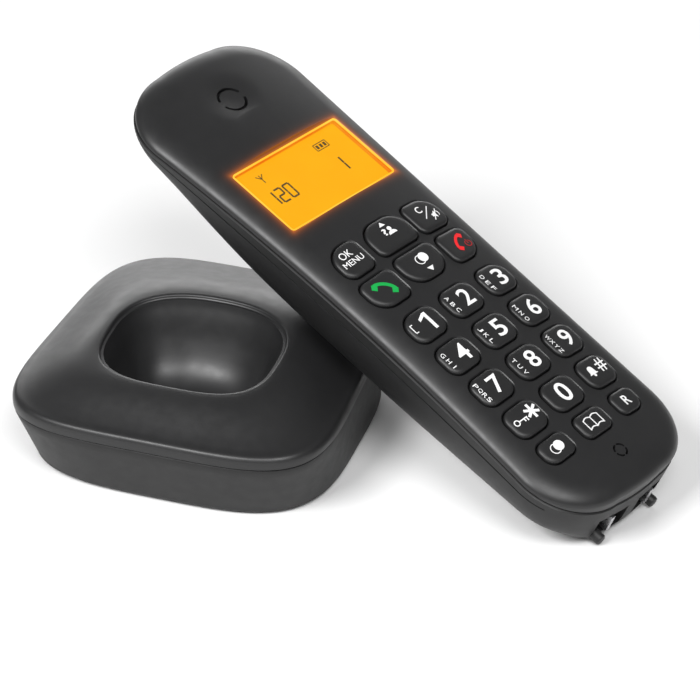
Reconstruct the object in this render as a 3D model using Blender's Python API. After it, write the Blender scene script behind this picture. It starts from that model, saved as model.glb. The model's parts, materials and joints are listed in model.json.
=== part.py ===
"""Cordless telephone: a charging base with the handset leaning across its right shoulder.

The world frame is in metres with +Z up; the base's front faces -Y and the floor is Z = 0.
Shapes are worked out in millimetres and scaled by MM where a mesh is made.
The handset is built in its own frame, in which +X is across it, +Y runs up to the earpiece
and +Z leaves its face, and an empty then lays it against the base.
"""
import math

import bmesh
import bpy
from mathutils import Matrix, Vector

MM = 0.001
FIT_GAP = 0.35

# The arrangement's own origin, under the middle of its extents, in the base's frame.
PHONE_ORIGIN = (39.577, 10.273, 0.0)

# Base, in the base's own frame, whose origin lies on the floor under its centre.
BASE_HALF_WIDTH = 41.0
BASE_FRONT_DEPTH = 43.5
BASE_REAR_DEPTH = 39.8
BASE_CORNER_POWER = 4.3
BASE_REAR_TAPER = 0.068
BASE_WALL = 2.0
UNDERSIDE_Z = 0.8
FOOT_SIDE_INSET = 1.1
FOOT_FRONT_INSET = 5.8
FOOT_REAR_INSET = 1.2
FOOT_FRONT_POWER = 3.5
FOOT_REAR_POWER = 4.2
FOOT_REAR_TAPER = 0.03
SEAM_FRONT_Z = 18.0
SEAM_RISE = 0.02
SHOULDER_INSET = 2.4
SHOULDER_RISE = 3.9
RING_STEPS = 40

# Cradle well in the top of the base.
WELL_CENTRE_Y = -9.0
WELL_HALF_WIDTH = 22.6
WELL_FRONT_DEPTH = 18.6
WELL_REAR_DEPTH = 18.5
WELL_FRONT_POWER = 3.2
WELL_REAR_POWER = 2.4
RIM_FRONT_Z = 28.0
RIM_RISE = 0.095
WELL_FLOOR_Z = 11.0
# Inset from the rim, depth as a share and forward shift of each ring down the well.
WELL_STEPS = ((0.9, 0.03, 0.0), (2.2, 0.20, 0.2), (4.2, 0.50, 0.8),
              (6.8, 0.78, 1.6), (10.0, 0.94, 2.2), (13.5, 1.0, 2.6))
DOME_BULGE_FRONT = 0.8
DOME_BULGE_REAR = 1.5

# Base fittings.
SCREW_HEAD = 1.2
BOSS_RADIUS = 2.6
BASE_BOARD = ((-22.5, -24.0, 3.4), (22.5, 17.5, 4.8))
PHONE_SOCKET = (14.0, 9.6)
PHONE_CAVITY = (9.8, 6.6)
POWER_SOCKET = (10.0, 9.0)
POWER_BORE_RADIUS = 2.9
SOCKET_BACK_Y = 19.0
REAR_WALL_SPAN = (34.0, 46.0)
SOCKET_Z = 9.3
SCREW_HEAD_Z = 0.5
SCREW_HEAD_RADIUS = 2.4
SCREW_SHANK_RADIUS = 1.1
SCREW_LENGTH = 6.5
SCREW_BORE_RADIUS = 1.4
COUNTERBORE_RADIUS = 2.9
CONTACT_HOLE_RADIUS = 1.5
SOCKET_BACK_WALL = 1.5
PAST_FACE = 3.0
POWER_BORE_DEPTH = 10.5
POWER_PIN_RADIUS = 0.8
POWER_PIN_LENGTH = 10.0
SCREW_SPOTS = ((-29.0, -11.0), (29.0, -11.0), (-26.0, 15.0), (26.0, 15.0))
FOOT_SPOTS = ((-27.0, -24.0), (27.0, -24.0), (-29.0, 25.0), (29.0, 25.0))
FOOT_RADIUS = 3.5
FOOT_HEIGHT = 1.4
CONTACT_X = 7.7
CONTACT_Y = -13.5
CONTACT_Z = 9.9
CONTACT_RADIUS = 1.1
CONTACT_LENGTH = 5.8
PHONE_SOCKET_X = -13.0
POWER_SOCKET_X = 13.0
SOCKET_FACE_Y = 33.0
BUTTON_Z = 9.5
BUTTON_INNER_Y = 31.0
BUTTON_FACE_Y = 39.9
BUTTON_WIDTH = 9.0
BUTTON_HEIGHT = 5.0

# Handset outline and thickness, in the handset's frame.
HANDSET_HALF_LENGTH = 81.0
TOP_EXTRA = 1.0
WAIST_HALF_WIDTH = 25.2
WAIST_Y = -13.0
FLARE = 1.5
FLARE_REACH = 62.0
TOP_CORNER = 17.5
BOTTOM_CORNER = 17.5
END_BOW = 0.6
FACE_CROWN = 2.03
FACE_RADIUS = 140.0
CASE_WALL = 1.8
SEAM_DEPTH = 5.5
LIP_DEPTH = 6.2
BACK_Y = -18.0
BACK_DEPTH = 21.1
BACK_TOP_DEPTH = 8.5
BACK_TOP_POWER = 1.9
BACK_LOW_RISE = 5.5
BELLY = 5.35
BELLY_Y = 8.0
BELLY_TOP_REACH = 52.0
BELLY_LOW_REACH = 118.0
BELLY_FLAT = 8.5
BELLY_SIDE = 12.0
END_UPRIGHT = 0.1
FAR_BELOW = -34.0
THROUGH_FACE = (-6.0, 6.0)
ROUND_INSET = 6.0
ROUND_DROP = 2.6

# Display opening and the sound openings.
SCREEN_HALF_WIDTH = 19.7
SCREEN_TOP = 45.8
SCREEN_BOTTOM = 23.8
SCREEN_CORNER = 1.0
EARPIECE_Y = 64.4
EARPIECE_SLOT = (3.6, 4.6)
MICROPHONE_Y = -71.4
MICROPHONE_SLOT = (1.5, 2.1)

# Window, panel, keypad mat, circuit board and sound parts behind the face: corner radii, plans
# and heights.
WINDOW_CORNER = 0.8
WINDOW_DEPTH = (3.0, 2.0)
PANEL_HALF_WIDTH = 21.0
PANEL_MARGIN = 2.5
PANEL_LOW = -4.2
PANEL_HIGH = -2.4
MAT_Y = -26.5
MAT_SIZE = (39.5, 81.5)
MAT_CORNER = 6.0
MAT_LOW = -4.5
MAT_HIGH = -3.6
BOARD_Y = 1.0
BOARD_SIZE = (40.0, 146.0)
BOARD_CORNER = 14.0
BOARD_LOW = -5.8
BOARD_HIGH = -4.8
EARPIECE_RADIUS = 7.0
EARPIECE_LENGTH = 2.6
EARPIECE_Z = -3.0
CAPSULE_Y = -74.2
CAPSULE_RADIUS = 2.4
CAPSULE_LENGTH = 2.0
CAPSULE_Z = -3.4
RINGER_RADIUS = 9.0
RINGER_LENGTH = 3.6
RINGER_CENTRE = (0.0, 42.0, -12.0)

# Battery bay behind the lower half of the handset.
BAY_HALF_WIDTH = 11.5
BAY_TOP_Y = -10.5
BAY_BOTTOM_Y = -62.0
BAY_CEILING = -7.0
BLOCK_HALF_WIDTH = 17.0
BLOCK_TOP_Y = -5.5
BLOCK_BOTTOM_Y = -68.0
DOOR_HALF_WIDTH = 15.2
DOOR_TOP_Y = -8.0
DOOR_BOTTOM_Y = -66.0
DOOR_THICKNESS = 1.7
DOOR_STEPS = 6
CELL_RADIUS = 5.1
CELL_LENGTH = 44.5
CELL_GAP = 0.15
PLATE_HALF_WIDTH = 10.0
PLATE_LOW = -17.0
PLATE_HIGH = -8.0
PLATE_INSET = 0.9

# Charging slots and guide nubs in the handset's lower end, and the screws under its door.
SLOT_INNER_X = 2.2
SLOT_OUTER_X = 12.6
SLOT_END_Y = -74.8
SLOT_MARGIN = 0.6
STRIP_X = 7.7
STRIP_WIDTH = 1.4
STRIP_FACE_Y = -80.9
STRIP_BACK_Y = -75.3
STRIP_LOW = -15.6
STRIP_HIGH = -10.6
STRIP_Z = -13.0
NUB_X = 10.6
NUB_Z = -16.7
NUB_Y = -79.5
NUB_RADIUS = 1.5
NUB_LENGTH = 5.0
CASE_SCREW_HEAD_RADIUS = 1.4
CASE_SCREW_SHANK_RADIUS = 0.8
CASE_SCREW_LENGTH = 5.0
HANDSET_SCREW_SPOTS = ((-13.7, -36.0), (13.7, -36.0))

# Keys: heights above the face, depth below it and stroke.
KEY_PROUD = 0.7
KEY_DEPTH = 2.5
KEY_PITCH_X = 14.0
KEY_PITCH_Y = 11.6
DIGIT_TOP_Y = -16.4

# Corner radii of the keys.
SMALL = 2.2
WIDE = 5.2
DIGIT_ROUND = 3.0

# Name, centre, width, height and the radii at top left, top right, bottom right, bottom left.
UPPER_KEYS = (
    ("key_ok_menu", (-14.6, 8.6), 9.4, 9.8, (WIDE, SMALL, SMALL, 3.0)),
    ("key_up", (0.0, 9.0), 14.2, 9.8, (WIDE, WIDE, SMALL, SMALL)),
    ("key_clear_mute", (13.9, 8.6), 10.8, 9.8, (SMALL, WIDE, 3.0, SMALL)),
    ("key_call", (-14.4, -3.1), 11.0, 9.4, (SMALL, SMALL, SMALL, WIDE)),
    ("key_down", (0.0, -2.5), 13.6, 9.4, (SMALL, SMALL, WIDE, WIDE)),
    ("key_end", (14.0, -3.1), 10.2, 9.4, (SMALL, SMALL, WIDE, SMALL)),
)
LOWER_KEYS = (
    ("key_redial", (-14.0, -61.7), 9.4, 6.7, (SMALL, SMALL, SMALL, 3.1)),
    ("key_phonebook", (0.0, -61.7), 10.0, 6.9, (SMALL, SMALL, SMALL, SMALL)),
    ("key_recall", (13.6, -61.7), 8.4, 6.7, (SMALL, SMALL, 3.1, SMALL)),
)
DIGIT_NAMES = ("1", "2", "3", "4", "5", "6", "7", "8", "9", "star", "0", "hash")

# How the handset lies: its face frame's centre, heading and pitch in the base's frame.
HANDSET_CENTRE = (48.8, 15.3, 48.6)
HANDSET_HEADING = math.radians(68.8)
HANDSET_PITCH = math.radians(22.8)

CHARCOAL = (0.030, 0.030, 0.032)
DARK_GREY = (0.020, 0.020, 0.022)
RUBBER_GREY = (0.025, 0.025, 0.025)
BOARD_GREEN = (0.02, 0.16, 0.07)
STEEL = (0.62, 0.62, 0.64)
GOLD = (0.83, 0.62, 0.28)
SLEEVE_GREEN = (0.10, 0.35, 0.16)
AMBER = (1.0, 0.45, 0.02)


# ---------------------------------------------------------------- scene helpers

def clear_scene():
    for item in list(bpy.data.objects):
        bpy.data.objects.remove(item, do_unlink=True)


def new_collection(name):
    collection = bpy.data.collections.new(name)
    bpy.context.scene.collection.children.link(collection)
    return collection


def material(name, colour, roughness, metallic=0.0, alpha=1.0):
    result = bpy.data.materials.new(name)
    result.use_nodes = True
    shader = result.node_tree.nodes["Principled BSDF"]
    shader.inputs["Base Color"].default_value = (*colour, 1.0)
    shader.inputs["Roughness"].default_value = roughness
    shader.inputs["Metallic"].default_value = metallic
    shader.inputs["Alpha"].default_value = alpha
    return result


def make_object(name, bm, collection, origin=(0.0, 0.0, 0.0), parent=None, finish=None):
    """Turns a bmesh in millimetres into an object whose own origin is at the given point."""
    shift = Vector(origin)
    for vert in bm.verts:
        vert.co = (vert.co - shift) * MM
    bmesh.ops.recalc_face_normals(bm, faces=bm.faces)
    mesh = bpy.data.meshes.new(name)
    bm.to_mesh(mesh)
    bm.free()
    item = bpy.data.objects.new(name, mesh)
    item.location = shift * MM
    item.parent = parent or BASE
    collection.objects.link(item)
    if finish is not None:
        mesh.materials.append(material(name, *finish))
        mesh.shade_smooth()
        mesh.set_sharp_from_angle(angle=math.radians(35.0))
    return item


def part(name, bm, finish, origin=(0.0, 0.0, 0.0), parent=None):
    return make_object(name, bm, PARTS, origin, parent, finish)


def cutter(name, bm, parent=None):
    item = make_object(name, bm, CUTTERS, parent=parent)
    item.hide_render = True
    item.display_type = "WIRE"
    return item


def boolean(target, tool, operation="DIFFERENCE"):
    modifier = target.modifiers.new(tool.name, "BOOLEAN")
    modifier.operation = operation
    modifier.solver = "EXACT"
    modifier.object = tool


# ---------------------------------------------------------------- shape helpers

def add_loft(bm, rings):
    """Skins a list of rings of equal length and closes both ends.

    A ring starts at its highest Y and runs clockwise, so point i mirrors point count - i,
    and each end closes with strips that join such pairs.
    """
    count = len(rings[0])
    verts = [[bm.verts.new(point) for point in ring] for ring in rings]
    for lower, upper in zip(verts, verts[1:]):
        for i in range(count):
            j = (i + 1) % count
            bm.faces.new((lower[i], lower[j], upper[j], upper[i]))
    for ring in (verts[0], verts[-1]):
        bm.faces.new((ring[0], ring[1], ring[count - 1]))
        for i in range(1, count // 2 - 1):
            bm.faces.new((ring[i], ring[i + 1], ring[count - i - 1], ring[count - i]))
        half = count // 2
        bm.faces.new((ring[half - 1], ring[half], ring[half + 1]))
    bmesh.ops.triangulate(bm, faces=bm.faces)


def loft(rings):
    bm = bmesh.new()
    add_loft(bm, rings)
    return bm


def add_box(bm, low, high):
    centre = (Vector(low) + Vector(high)) / 2.0
    size = Vector(high) - Vector(low)
    matrix = Matrix.Translation(centre) @ Matrix.Diagonal((*size, 1.0))
    return bmesh.ops.create_cube(bm, size=1.0, matrix=matrix)["verts"]


def box(low, high):
    bm = bmesh.new()
    add_box(bm, low, high)
    return bm


def add_cylinder(bm, centre, radius, length, axis="Z", steps=20, tip_radius=None):
    turn = {"X": Matrix.Rotation(math.pi / 2.0, 4, "Y"),
            "Y": Matrix.Rotation(-math.pi / 2.0, 4, "X"),
            "Z": Matrix.Identity(4)}[axis]
    matrix = Matrix.Translation(centre) @ turn
    end_radius = radius if tip_radius is None else tip_radius
    bmesh.ops.create_cone(bm, cap_ends=True, segments=steps, radius1=radius,
                          radius2=end_radius, depth=length, matrix=matrix)


def cylinder(centre, radius, length, axis="Z", steps=20, tip_radius=None):
    bm = bmesh.new()
    add_cylinder(bm, centre, radius, length, axis, steps, tip_radius)
    return bm


def add_prism(bm, outline, low, high):
    """Stands an outline up between two heights; a height is a number or a function of x, y."""
    def level(value, point):
        return value(*point) if callable(value) else value
    bottom = [bm.verts.new((*point, level(low, point))) for point in outline]
    top = [bm.verts.new((*point, level(high, point))) for point in outline]
    bm.faces.new(bottom)
    bm.faces.new(top)
    for i in range(len(outline)):
        j = (i + 1) % len(outline)
        bm.faces.new((bottom[i], bottom[j], top[j], top[i]))


def prism(outline, low, high):
    bm = bmesh.new()
    add_prism(bm, outline, low, high)
    return bm


def rounded_rectangle(centre, width, height, radii, grow=0.0, steps=3):
    """Outline with its own radius at the top left, top right, bottom right and bottom left."""
    half_x = width / 2.0 + grow
    half_y = height / 2.0 + grow
    signs = ((-1, 1), (1, 1), (1, -1), (-1, -1))
    outline = []
    for corner, ((sign_x, sign_y), radius) in enumerate(zip(signs, radii)):
        reach = radius + grow
        for step in range(steps + 1):
            angle = math.pi - (corner + step / steps) * math.pi / 2.0
            x = centre[0] + sign_x * (half_x - reach) + reach * math.cos(angle)
            y = centre[1] + sign_y * (half_y - reach) + reach * math.sin(angle)
            outline.append((x, y))
    return outline


def arc_slot(centre, inner, outer, start, sweep, steps):
    """Outline of a slot bent along an arc; angles in degrees."""
    outline = []
    for step in range(steps + 1):
        angle = math.radians(start + sweep * step / steps)
        outline.append((centre[0] + outer * math.cos(angle), centre[1] + outer * math.sin(angle)))
    for step in range(steps, -1, -1):
        angle = math.radians(start + sweep * step / steps)
        outline.append((centre[0] + inner * math.cos(angle), centre[1] + inner * math.sin(angle)))
    return outline


def superellipse(half_width, front, rear, power_front, power_rear, centre_y=0.0):
    """Ring of points with its own depth and squareness in front of and behind its centre."""
    ring = []
    for step in range(RING_STEPS):
        angle = math.pi / 2.0 - step * math.tau / RING_STEPS
        cosine = round(math.cos(angle), 9)
        sine = round(math.sin(angle), 9)
        power = power_rear if sine >= 0.0 else power_front
        depth = rear if sine >= 0.0 else front
        x = half_width * math.copysign(abs(cosine) ** (2.0 / power), cosine)
        y = centre_y + depth * math.copysign(abs(sine) ** (2.0 / power), sine)
        ring.append((x, y))
    return ring


# ---------------------------------------------------------------- base shells

def seam_height(y):
    return SEAM_FRONT_Z + SEAM_RISE * (y + BASE_FRONT_DEPTH)


def rim_height(y):
    return RIM_FRONT_Z + RIM_RISE * (y - WELL_CENTRE_Y + WELL_FRONT_DEPTH)


def base_ring(inset, rise):
    """Ring along the base's widest outline, at a height above its seam."""
    outline = superellipse(BASE_HALF_WIDTH - inset, BASE_FRONT_DEPTH - inset,
                           BASE_REAR_DEPTH - inset, BASE_CORNER_POWER, BASE_CORNER_POWER)
    ring = []
    for x, y in outline:
        taper = 1.0 - BASE_REAR_TAPER * y / BASE_FRONT_DEPTH
        ring.append((x * taper, y, seam_height(y) + rise))
    return ring


def foot_ring(inset, z):
    """Ring along the outline on which the base's walls stand."""
    outline = superellipse(BASE_HALF_WIDTH - FOOT_SIDE_INSET - inset,
                           BASE_FRONT_DEPTH - FOOT_FRONT_INSET - inset,
                           BASE_REAR_DEPTH - FOOT_REAR_INSET - inset,
                           FOOT_FRONT_POWER, FOOT_REAR_POWER)
    return [(x * (1.0 - FOOT_REAR_TAPER * y / BASE_FRONT_DEPTH), y, z) for x, y in outline]


def well_ring(inset, depth, forward=0.0):
    """Ring inside the cradle well; depth 0 lies on the rim and depth 1 on the floor."""
    outline = superellipse(WELL_HALF_WIDTH - inset, WELL_FRONT_DEPTH - inset,
                           WELL_REAR_DEPTH - inset, WELL_FRONT_POWER, WELL_REAR_POWER,
                           WELL_CENTRE_Y - forward)
    return [(x, y, (1.0 - depth) * rim_height(y) + depth * WELL_FLOOR_Z) for x, y in outline]


def blend_rings(first, second, share):
    return [tuple(a + (b - a) * share for a, b in zip(p, q)) for p, q in zip(first, second)]


def dome_ring(shoulder, rim, share):
    """Ring on the crowned top, between the shoulder and the rim of the well."""
    ring = []
    for x, y, z in blend_rings(shoulder, rim, share):
        rearward = 0.5 + 0.5 * math.sin(math.atan2(y - WELL_CENTRE_Y, abs(x) + 1e-6))
        bulge = DOME_BULGE_FRONT + (DOME_BULGE_REAR - DOME_BULGE_FRONT) * rearward
        ring.append((x, y, z + bulge * 6.75 * share ** 2 * (1.0 - share)))
    return ring


def lowered(ring, drop):
    return [(x, y, z - drop) for x, y, z in ring]


def dome_rings(wall, shares=(0.3, 0.55, 0.8)):
    """Rings from the seam to the rim; wall is how far inside the outer skin they lie."""
    low = FIT_GAP / 2.0
    shoulder = base_ring(SHOULDER_INSET + wall, SHOULDER_RISE - wall)
    rim = well_ring(-wall, 0.0)
    rings = [base_ring(wall, low), base_ring(wall, 1.4)]
    if wall == 0.0:
        rings.append(base_ring(0.7, SHOULDER_RISE - 1.3))
    rings.append(shoulder)
    rings += [lowered(dome_ring(shoulder, rim, share), wall * share) for share in shares]
    rings.append(lowered(rim, wall))
    return rings


def well_rings(wall, steps=WELL_STEPS):
    """Rings from just below the rim to the floor of the well."""
    return [lowered(well_ring(inset - wall, depth, forward), wall)
            for inset, depth, forward in steps]


def make_top_shell():
    outer = dome_rings(0.0) + well_rings(0.0)
    inner = dome_rings(BASE_WALL, (0.55,)) + well_rings(BASE_WALL, WELL_STEPS[1::2])
    shell = part("base_top_shell", loft(outer[::-1] + inner), (CHARCOAL, 0.45))
    bosses = bmesh.new()
    for x, y in SCREW_SPOTS:
        add_cylinder(bosses, (x, y, 22.0), BOSS_RADIUS, 35.0, steps=12)
    boss_tool = cutter("top_shell_bosses", bosses)
    middle = dome_rings(BASE_WALL / 2.0, (0.55,)) + well_rings(BASE_WALL / 2.0, WELL_STEPS[1::2])
    limit = cutter("boss_limit", loft([lowered(middle[0], 16.0)] + middle))
    boolean(boss_tool, limit, "INTERSECT")
    boolean(shell, boss_tool, "UNION")
    holes = bmesh.new()
    for x, y in SCREW_SPOTS:
        add_cylinder(holes, (x, y, 7.0), SCREW_BORE_RADIUS, 9.0, steps=10)
    for side in (-1, 1):
        add_cylinder(holes, (side * CONTACT_X, CONTACT_Y, WELL_FLOOR_Z - 1.0),
                     CONTACT_HOLE_RADIUS, 8.0, steps=14)
    boolean(shell, cutter("top_shell_holes", holes))


def make_bottom_shell():
    top = -FIT_GAP / 2.0
    outer_foot = foot_ring(0.0, UNDERSIDE_Z + 1.0)
    outer = [foot_ring(1.0, UNDERSIDE_Z), outer_foot]
    outer += [blend_rings(outer_foot, base_ring(0.3, top - 0.9), share) for share in (0.5, 1.0)]
    outer.append(base_ring(0.6, top))
    inner_foot = foot_ring(BASE_WALL, UNDERSIDE_Z + BASE_WALL)
    inner = [base_ring(BASE_WALL, top),
             blend_rings(inner_foot, base_ring(BASE_WALL, top), 0.5), inner_foot]
    shell = part("base_bottom_shell", loft(outer + inner), (CHARCOAL, 0.5))
    holes = bmesh.new()
    for x, y in SCREW_SPOTS:
        add_cylinder(holes, (x, y, UNDERSIDE_Z), COUNTERBORE_RADIUS, 2.4, steps=14)
        add_cylinder(holes, (x, y, 3.0), SCREW_BORE_RADIUS + 0.1, 3.0, steps=14)
    for x, y in FOOT_SPOTS:
        add_cylinder(holes, (x, y, 1.0), FOOT_RADIUS + 0.3, 1.6, steps=20)
    window = [side / 2.0 + 0.5 for side in PHONE_CAVITY]
    near, far = REAR_WALL_SPAN
    add_box(holes, (PHONE_SOCKET_X - window[0], near, SOCKET_Z - window[1]),
            (PHONE_SOCKET_X + window[0], far, SOCKET_Z + window[1]))
    add_cylinder(holes, (POWER_SOCKET_X, (near + far) / 2.0, SOCKET_Z),
                 POWER_BORE_RADIUS + 1.1, far - near, "Y", 20)
    add_prism_y(holes, button_outline(FIT_GAP), near, far)
    tool = cutter("bottom_shell_holes", holes)
    boolean(shell, tool)
    shell.modifiers[-1].use_self = True


# ---------------------------------------------------------------- base fittings

def button_outline(grow):
    radius = BUTTON_HEIGHT / 2.0 - 0.1
    return rounded_rectangle((0.0, BUTTON_Z), BUTTON_WIDTH, BUTTON_HEIGHT, (radius,) * 4,
                             grow, 4)


def add_prism_y(bm, outline, near, far):
    """Lays an outline, given in x and z, along Y."""
    start = [bm.verts.new((x, near, z)) for x, z in outline]
    end = [bm.verts.new((x, far, z)) for x, z in outline]
    bm.faces.new(start)
    bm.faces.new(end)
    for i in range(len(outline)):
        j = (i + 1) % len(outline)
        bm.faces.new((start[i], start[j], end[j], end[i]))


def screw(name, spot, head_z, head_radius, shank_radius, length, parent=None):
    """A pan-head screw whose shank runs from the head towards +Z."""
    bm = cylinder((spot[0], spot[1], head_z + SCREW_HEAD / 2.0), head_radius, SCREW_HEAD, steps=14)
    item = part(name, bm, (STEEL, 0.35, 1.0), (spot[0], spot[1], head_z), parent)
    shank = cylinder((spot[0], spot[1], head_z + SCREW_HEAD - 0.4 + length / 2.0), shank_radius,
                     length, steps=10)
    boolean(item, cutter(name + "_shank", shank, parent), "UNION")
    slot = box((spot[0] - head_radius * 0.62, spot[1] - 0.35, head_z - 0.5),
               (spot[0] + head_radius * 0.62, spot[1] + 0.35, head_z + 0.5))
    boolean(item, cutter(name + "_slot", slot, parent))


def make_base_fittings():
    for number, spot in enumerate(SCREW_SPOTS, 1):
        screw("base_screw_%d" % number, spot, SCREW_HEAD_Z, SCREW_HEAD_RADIUS,
              SCREW_SHANK_RADIUS, SCREW_LENGTH)
    for number, (x, y) in enumerate(FOOT_SPOTS, 1):
        centre = (x, y, FOOT_HEIGHT / 2.0)
        part("base_foot_%d" % number, cylinder(centre, FOOT_RADIUS, FOOT_HEIGHT, steps=20),
             (RUBBER_GREY, 0.9), centre)
    low, high = BASE_BOARD
    middle = tuple((a + b) / 2.0 for a, b in zip(low, high))
    part("base_circuit_board", box(low, high), (BOARD_GREEN, 0.5), middle)
    for side, label in ((-1, "left"), (1, "right")):
        centre = (side * CONTACT_X, CONTACT_Y, CONTACT_Z)
        plunger = cylinder(centre, CONTACT_RADIUS, CONTACT_LENGTH, steps=14, tip_radius=0.8)
        part("base_contact_" + label, plunger, (GOLD, 0.25, 1.0), centre)
    make_sockets()
    button = bmesh.new()
    add_prism_y(button, button_outline(0.0), BUTTON_INNER_Y, BUTTON_FACE_Y)
    part("page_button", button, (DARK_GREY, 0.5), (0.0, BUTTON_FACE_Y, BUTTON_Z))


def socket_block(name, x, size):
    """The body of a socket behind the rear wall, as a box of a given width and height."""
    low = (x - size[0] / 2.0, SOCKET_BACK_Y, SOCKET_Z - size[1] / 2.0)
    high = (x + size[0] / 2.0, SOCKET_FACE_Y, SOCKET_Z + size[1] / 2.0)
    return part(name, box(low, high), (DARK_GREY, 0.5), (x, SOCKET_FACE_Y, SOCKET_Z))


def make_sockets():
    phone = socket_block("phone_line_socket", PHONE_SOCKET_X, PHONE_SOCKET)
    half_x, half_z = (side / 2.0 for side in PHONE_CAVITY)
    cavity = box((PHONE_SOCKET_X - half_x, SOCKET_BACK_Y + SOCKET_BACK_WALL, SOCKET_Z - half_z),
                 (PHONE_SOCKET_X + half_x, SOCKET_FACE_Y + PAST_FACE, SOCKET_Z + half_z))
    boolean(phone, cutter("phone_socket_cavity", cavity))
    power = socket_block("power_socket", POWER_SOCKET_X, POWER_SOCKET)
    bore_y = SOCKET_FACE_Y + (PAST_FACE - POWER_BORE_DEPTH) / 2.0
    bore = cylinder((POWER_SOCKET_X, bore_y, SOCKET_Z), POWER_BORE_RADIUS,
                    POWER_BORE_DEPTH + PAST_FACE, "Y", 20)
    boolean(power, cutter("power_socket_bore", bore))
    pin_y = SOCKET_BACK_Y + SOCKET_BACK_WALL + POWER_PIN_LENGTH / 2.0
    pin = cylinder((POWER_SOCKET_X, pin_y, SOCKET_Z), POWER_PIN_RADIUS, POWER_PIN_LENGTH, "Y", 10)
    boolean(power, cutter("power_socket_pin", pin), "UNION")


# ---------------------------------------------------------------- handset shape

def half_width(y):
    return WAIST_HALF_WIDTH + FLARE * ((y - WAIST_Y) / FLARE_REACH) ** 2


def crown(y):
    return FACE_CROWN * (1.0 - (y / HANDSET_HALF_LENGTH) ** 2)


def face_height(x, y):
    return crown(y) - x * x / (2.0 * FACE_RADIUS)


def edge_depth(y):
    """Depth of the back beside its belly, greatest at BACK_Y and less towards both ends."""
    if y > BACK_Y:
        along = min((y - BACK_Y) / (HANDSET_HALF_LENGTH - BACK_Y), 1.0)
        share = 0.5 + 0.5 * math.cos(math.pi * along ** BACK_TOP_POWER)
        return BACK_TOP_DEPTH + (BACK_DEPTH - BACK_TOP_DEPTH) * share
    along = (BACK_Y - y) / (HANDSET_HALF_LENGTH + BACK_Y)
    return BACK_DEPTH - BACK_LOW_RISE * along ** 1.5


def back_height(x, y):
    """Height of the back, with a belly along its middle."""
    reach = BELLY_TOP_REACH if y > BELLY_Y else BELLY_LOW_REACH
    along = max(1.0 - ((y - BELLY_Y) / reach) ** 2, 0.0)
    side = min(max((abs(x) - BELLY_FLAT) / BELLY_SIDE, 0.0), 1.0)
    across = 1.0 - side * side * (3.0 - 2.0 * side)
    return -(edge_depth(y) + BELLY * along * across)


def handset_outline(inset, low_inset=None, side_steps=6, corner_steps=5):
    """Outline of the handset, shrunk by inset, from its highest Y and clockwise.

    Its lower end is shrunk by low_inset instead where that is given.
    """
    low_inset = inset if low_inset is None else low_inset
    top = HANDSET_HALF_LENGTH + TOP_EXTRA - END_BOW - TOP_CORNER
    bottom = -(HANDSET_HALF_LENGTH - END_BOW - BOTTOM_CORNER)
    half = [(0.0, HANDSET_HALF_LENGTH + TOP_EXTRA - inset)]
    for step in range(corner_steps + 1):
        angle = math.pi / 2.0 * (1.0 - step / corner_steps)
        reach = max(TOP_CORNER - inset, 1.0)
        half.append((half_width(top) - inset - reach + reach * math.cos(angle),
                     top + TOP_CORNER - inset - reach + reach * math.sin(angle)))
    for step in range(1, side_steps):
        y = top + (bottom - top) * step / side_steps
        half.append((half_width(y) - inset, y))
    for step in range(corner_steps + 1):
        angle = -math.pi / 2.0 * step / corner_steps
        reach = max(BOTTOM_CORNER - inset, 1.0)
        half.append((half_width(bottom) - inset - reach + reach * math.cos(angle),
                     bottom - BOTTOM_CORNER + low_inset + reach + reach * math.sin(angle)))
    half.append((0.0, -HANDSET_HALF_LENGTH + low_inset))
    return half + [(-x, y) for x, y in half[-2:0:-1]]


def handset_ring(inset, height, low_inset=None):
    """Ring of the handset's outline; height is a function of x and y."""
    return [(x, y, height(x, y)) for x, y in handset_outline(inset, low_inset)]


def front_skin(wall):
    """Rings of the front case, from its seam over the rounded edge to the middle of the face."""
    rings = [handset_ring(wall, lambda x, y: crown(y) - SEAM_DEPTH)]
    for degrees in (0, 35, 65, 90) if wall == 0.0 else (35, 65, 90):
        angle = math.radians(degrees)
        inset = wall + (ROUND_INSET - wall * 0.5) * (1.0 - math.cos(angle))
        drop = (ROUND_DROP - wall * 0.5) * (1.0 - math.sin(angle)) + wall
        rings.append(handset_ring(inset, lambda x, y: face_height(x, y) - drop))
    for inset in (11.0, 17.0):
        rings.append(handset_ring(inset + wall * 0.5, lambda x, y: face_height(x, y) - wall))
    return rings


def back_ring(inset, share, wall):
    """Ring of the rear case; share runs from 0 at its lip to 1 on its back."""
    return handset_ring(inset + wall, lambda x, y: (1.0 - share) * (crown(y) - LIP_DEPTH)
                        + share * (back_height(x, y) + wall), inset * END_UPRIGHT + wall)


def back_rings(wall):
    """Rings of the rear case from its lip to its back."""
    steps = ((0.0, 0.0), (0.4, 0.35), (1.6, 0.65), (3.6, 0.85), (6.5, 0.96), (11.0, 1.0),
             (17.0, 1.0))
    rings = [handset_ring(0.3 + wall, lambda x, y: crown(y) - SEAM_DEPTH - FIT_GAP)]
    return rings + [back_ring(inset, share, wall) for inset, share in steps]


def door_plan(grow, cover):
    """A block over the battery door's plan, its upper face a given depth inside the back."""
    half = DOOR_HALF_WIDTH + grow
    low, high = DOOR_BOTTOM_Y - grow, DOOR_TOP_Y + grow
    rows = []
    for step in range(DOOR_STEPS + 1):
        y = low + (high - low) * step / DOOR_STEPS
        section = [(x, back_height(x, y) + cover) for x in (half, BELLY_FLAT, -BELLY_FLAT, -half)]
        section += [(-half, FAR_BELOW), (half, FAR_BELOW)]
        rows.append([(x, y, z) for x, z in section])
    return loft(rows)


# ---------------------------------------------------------------- handset keys

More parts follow.
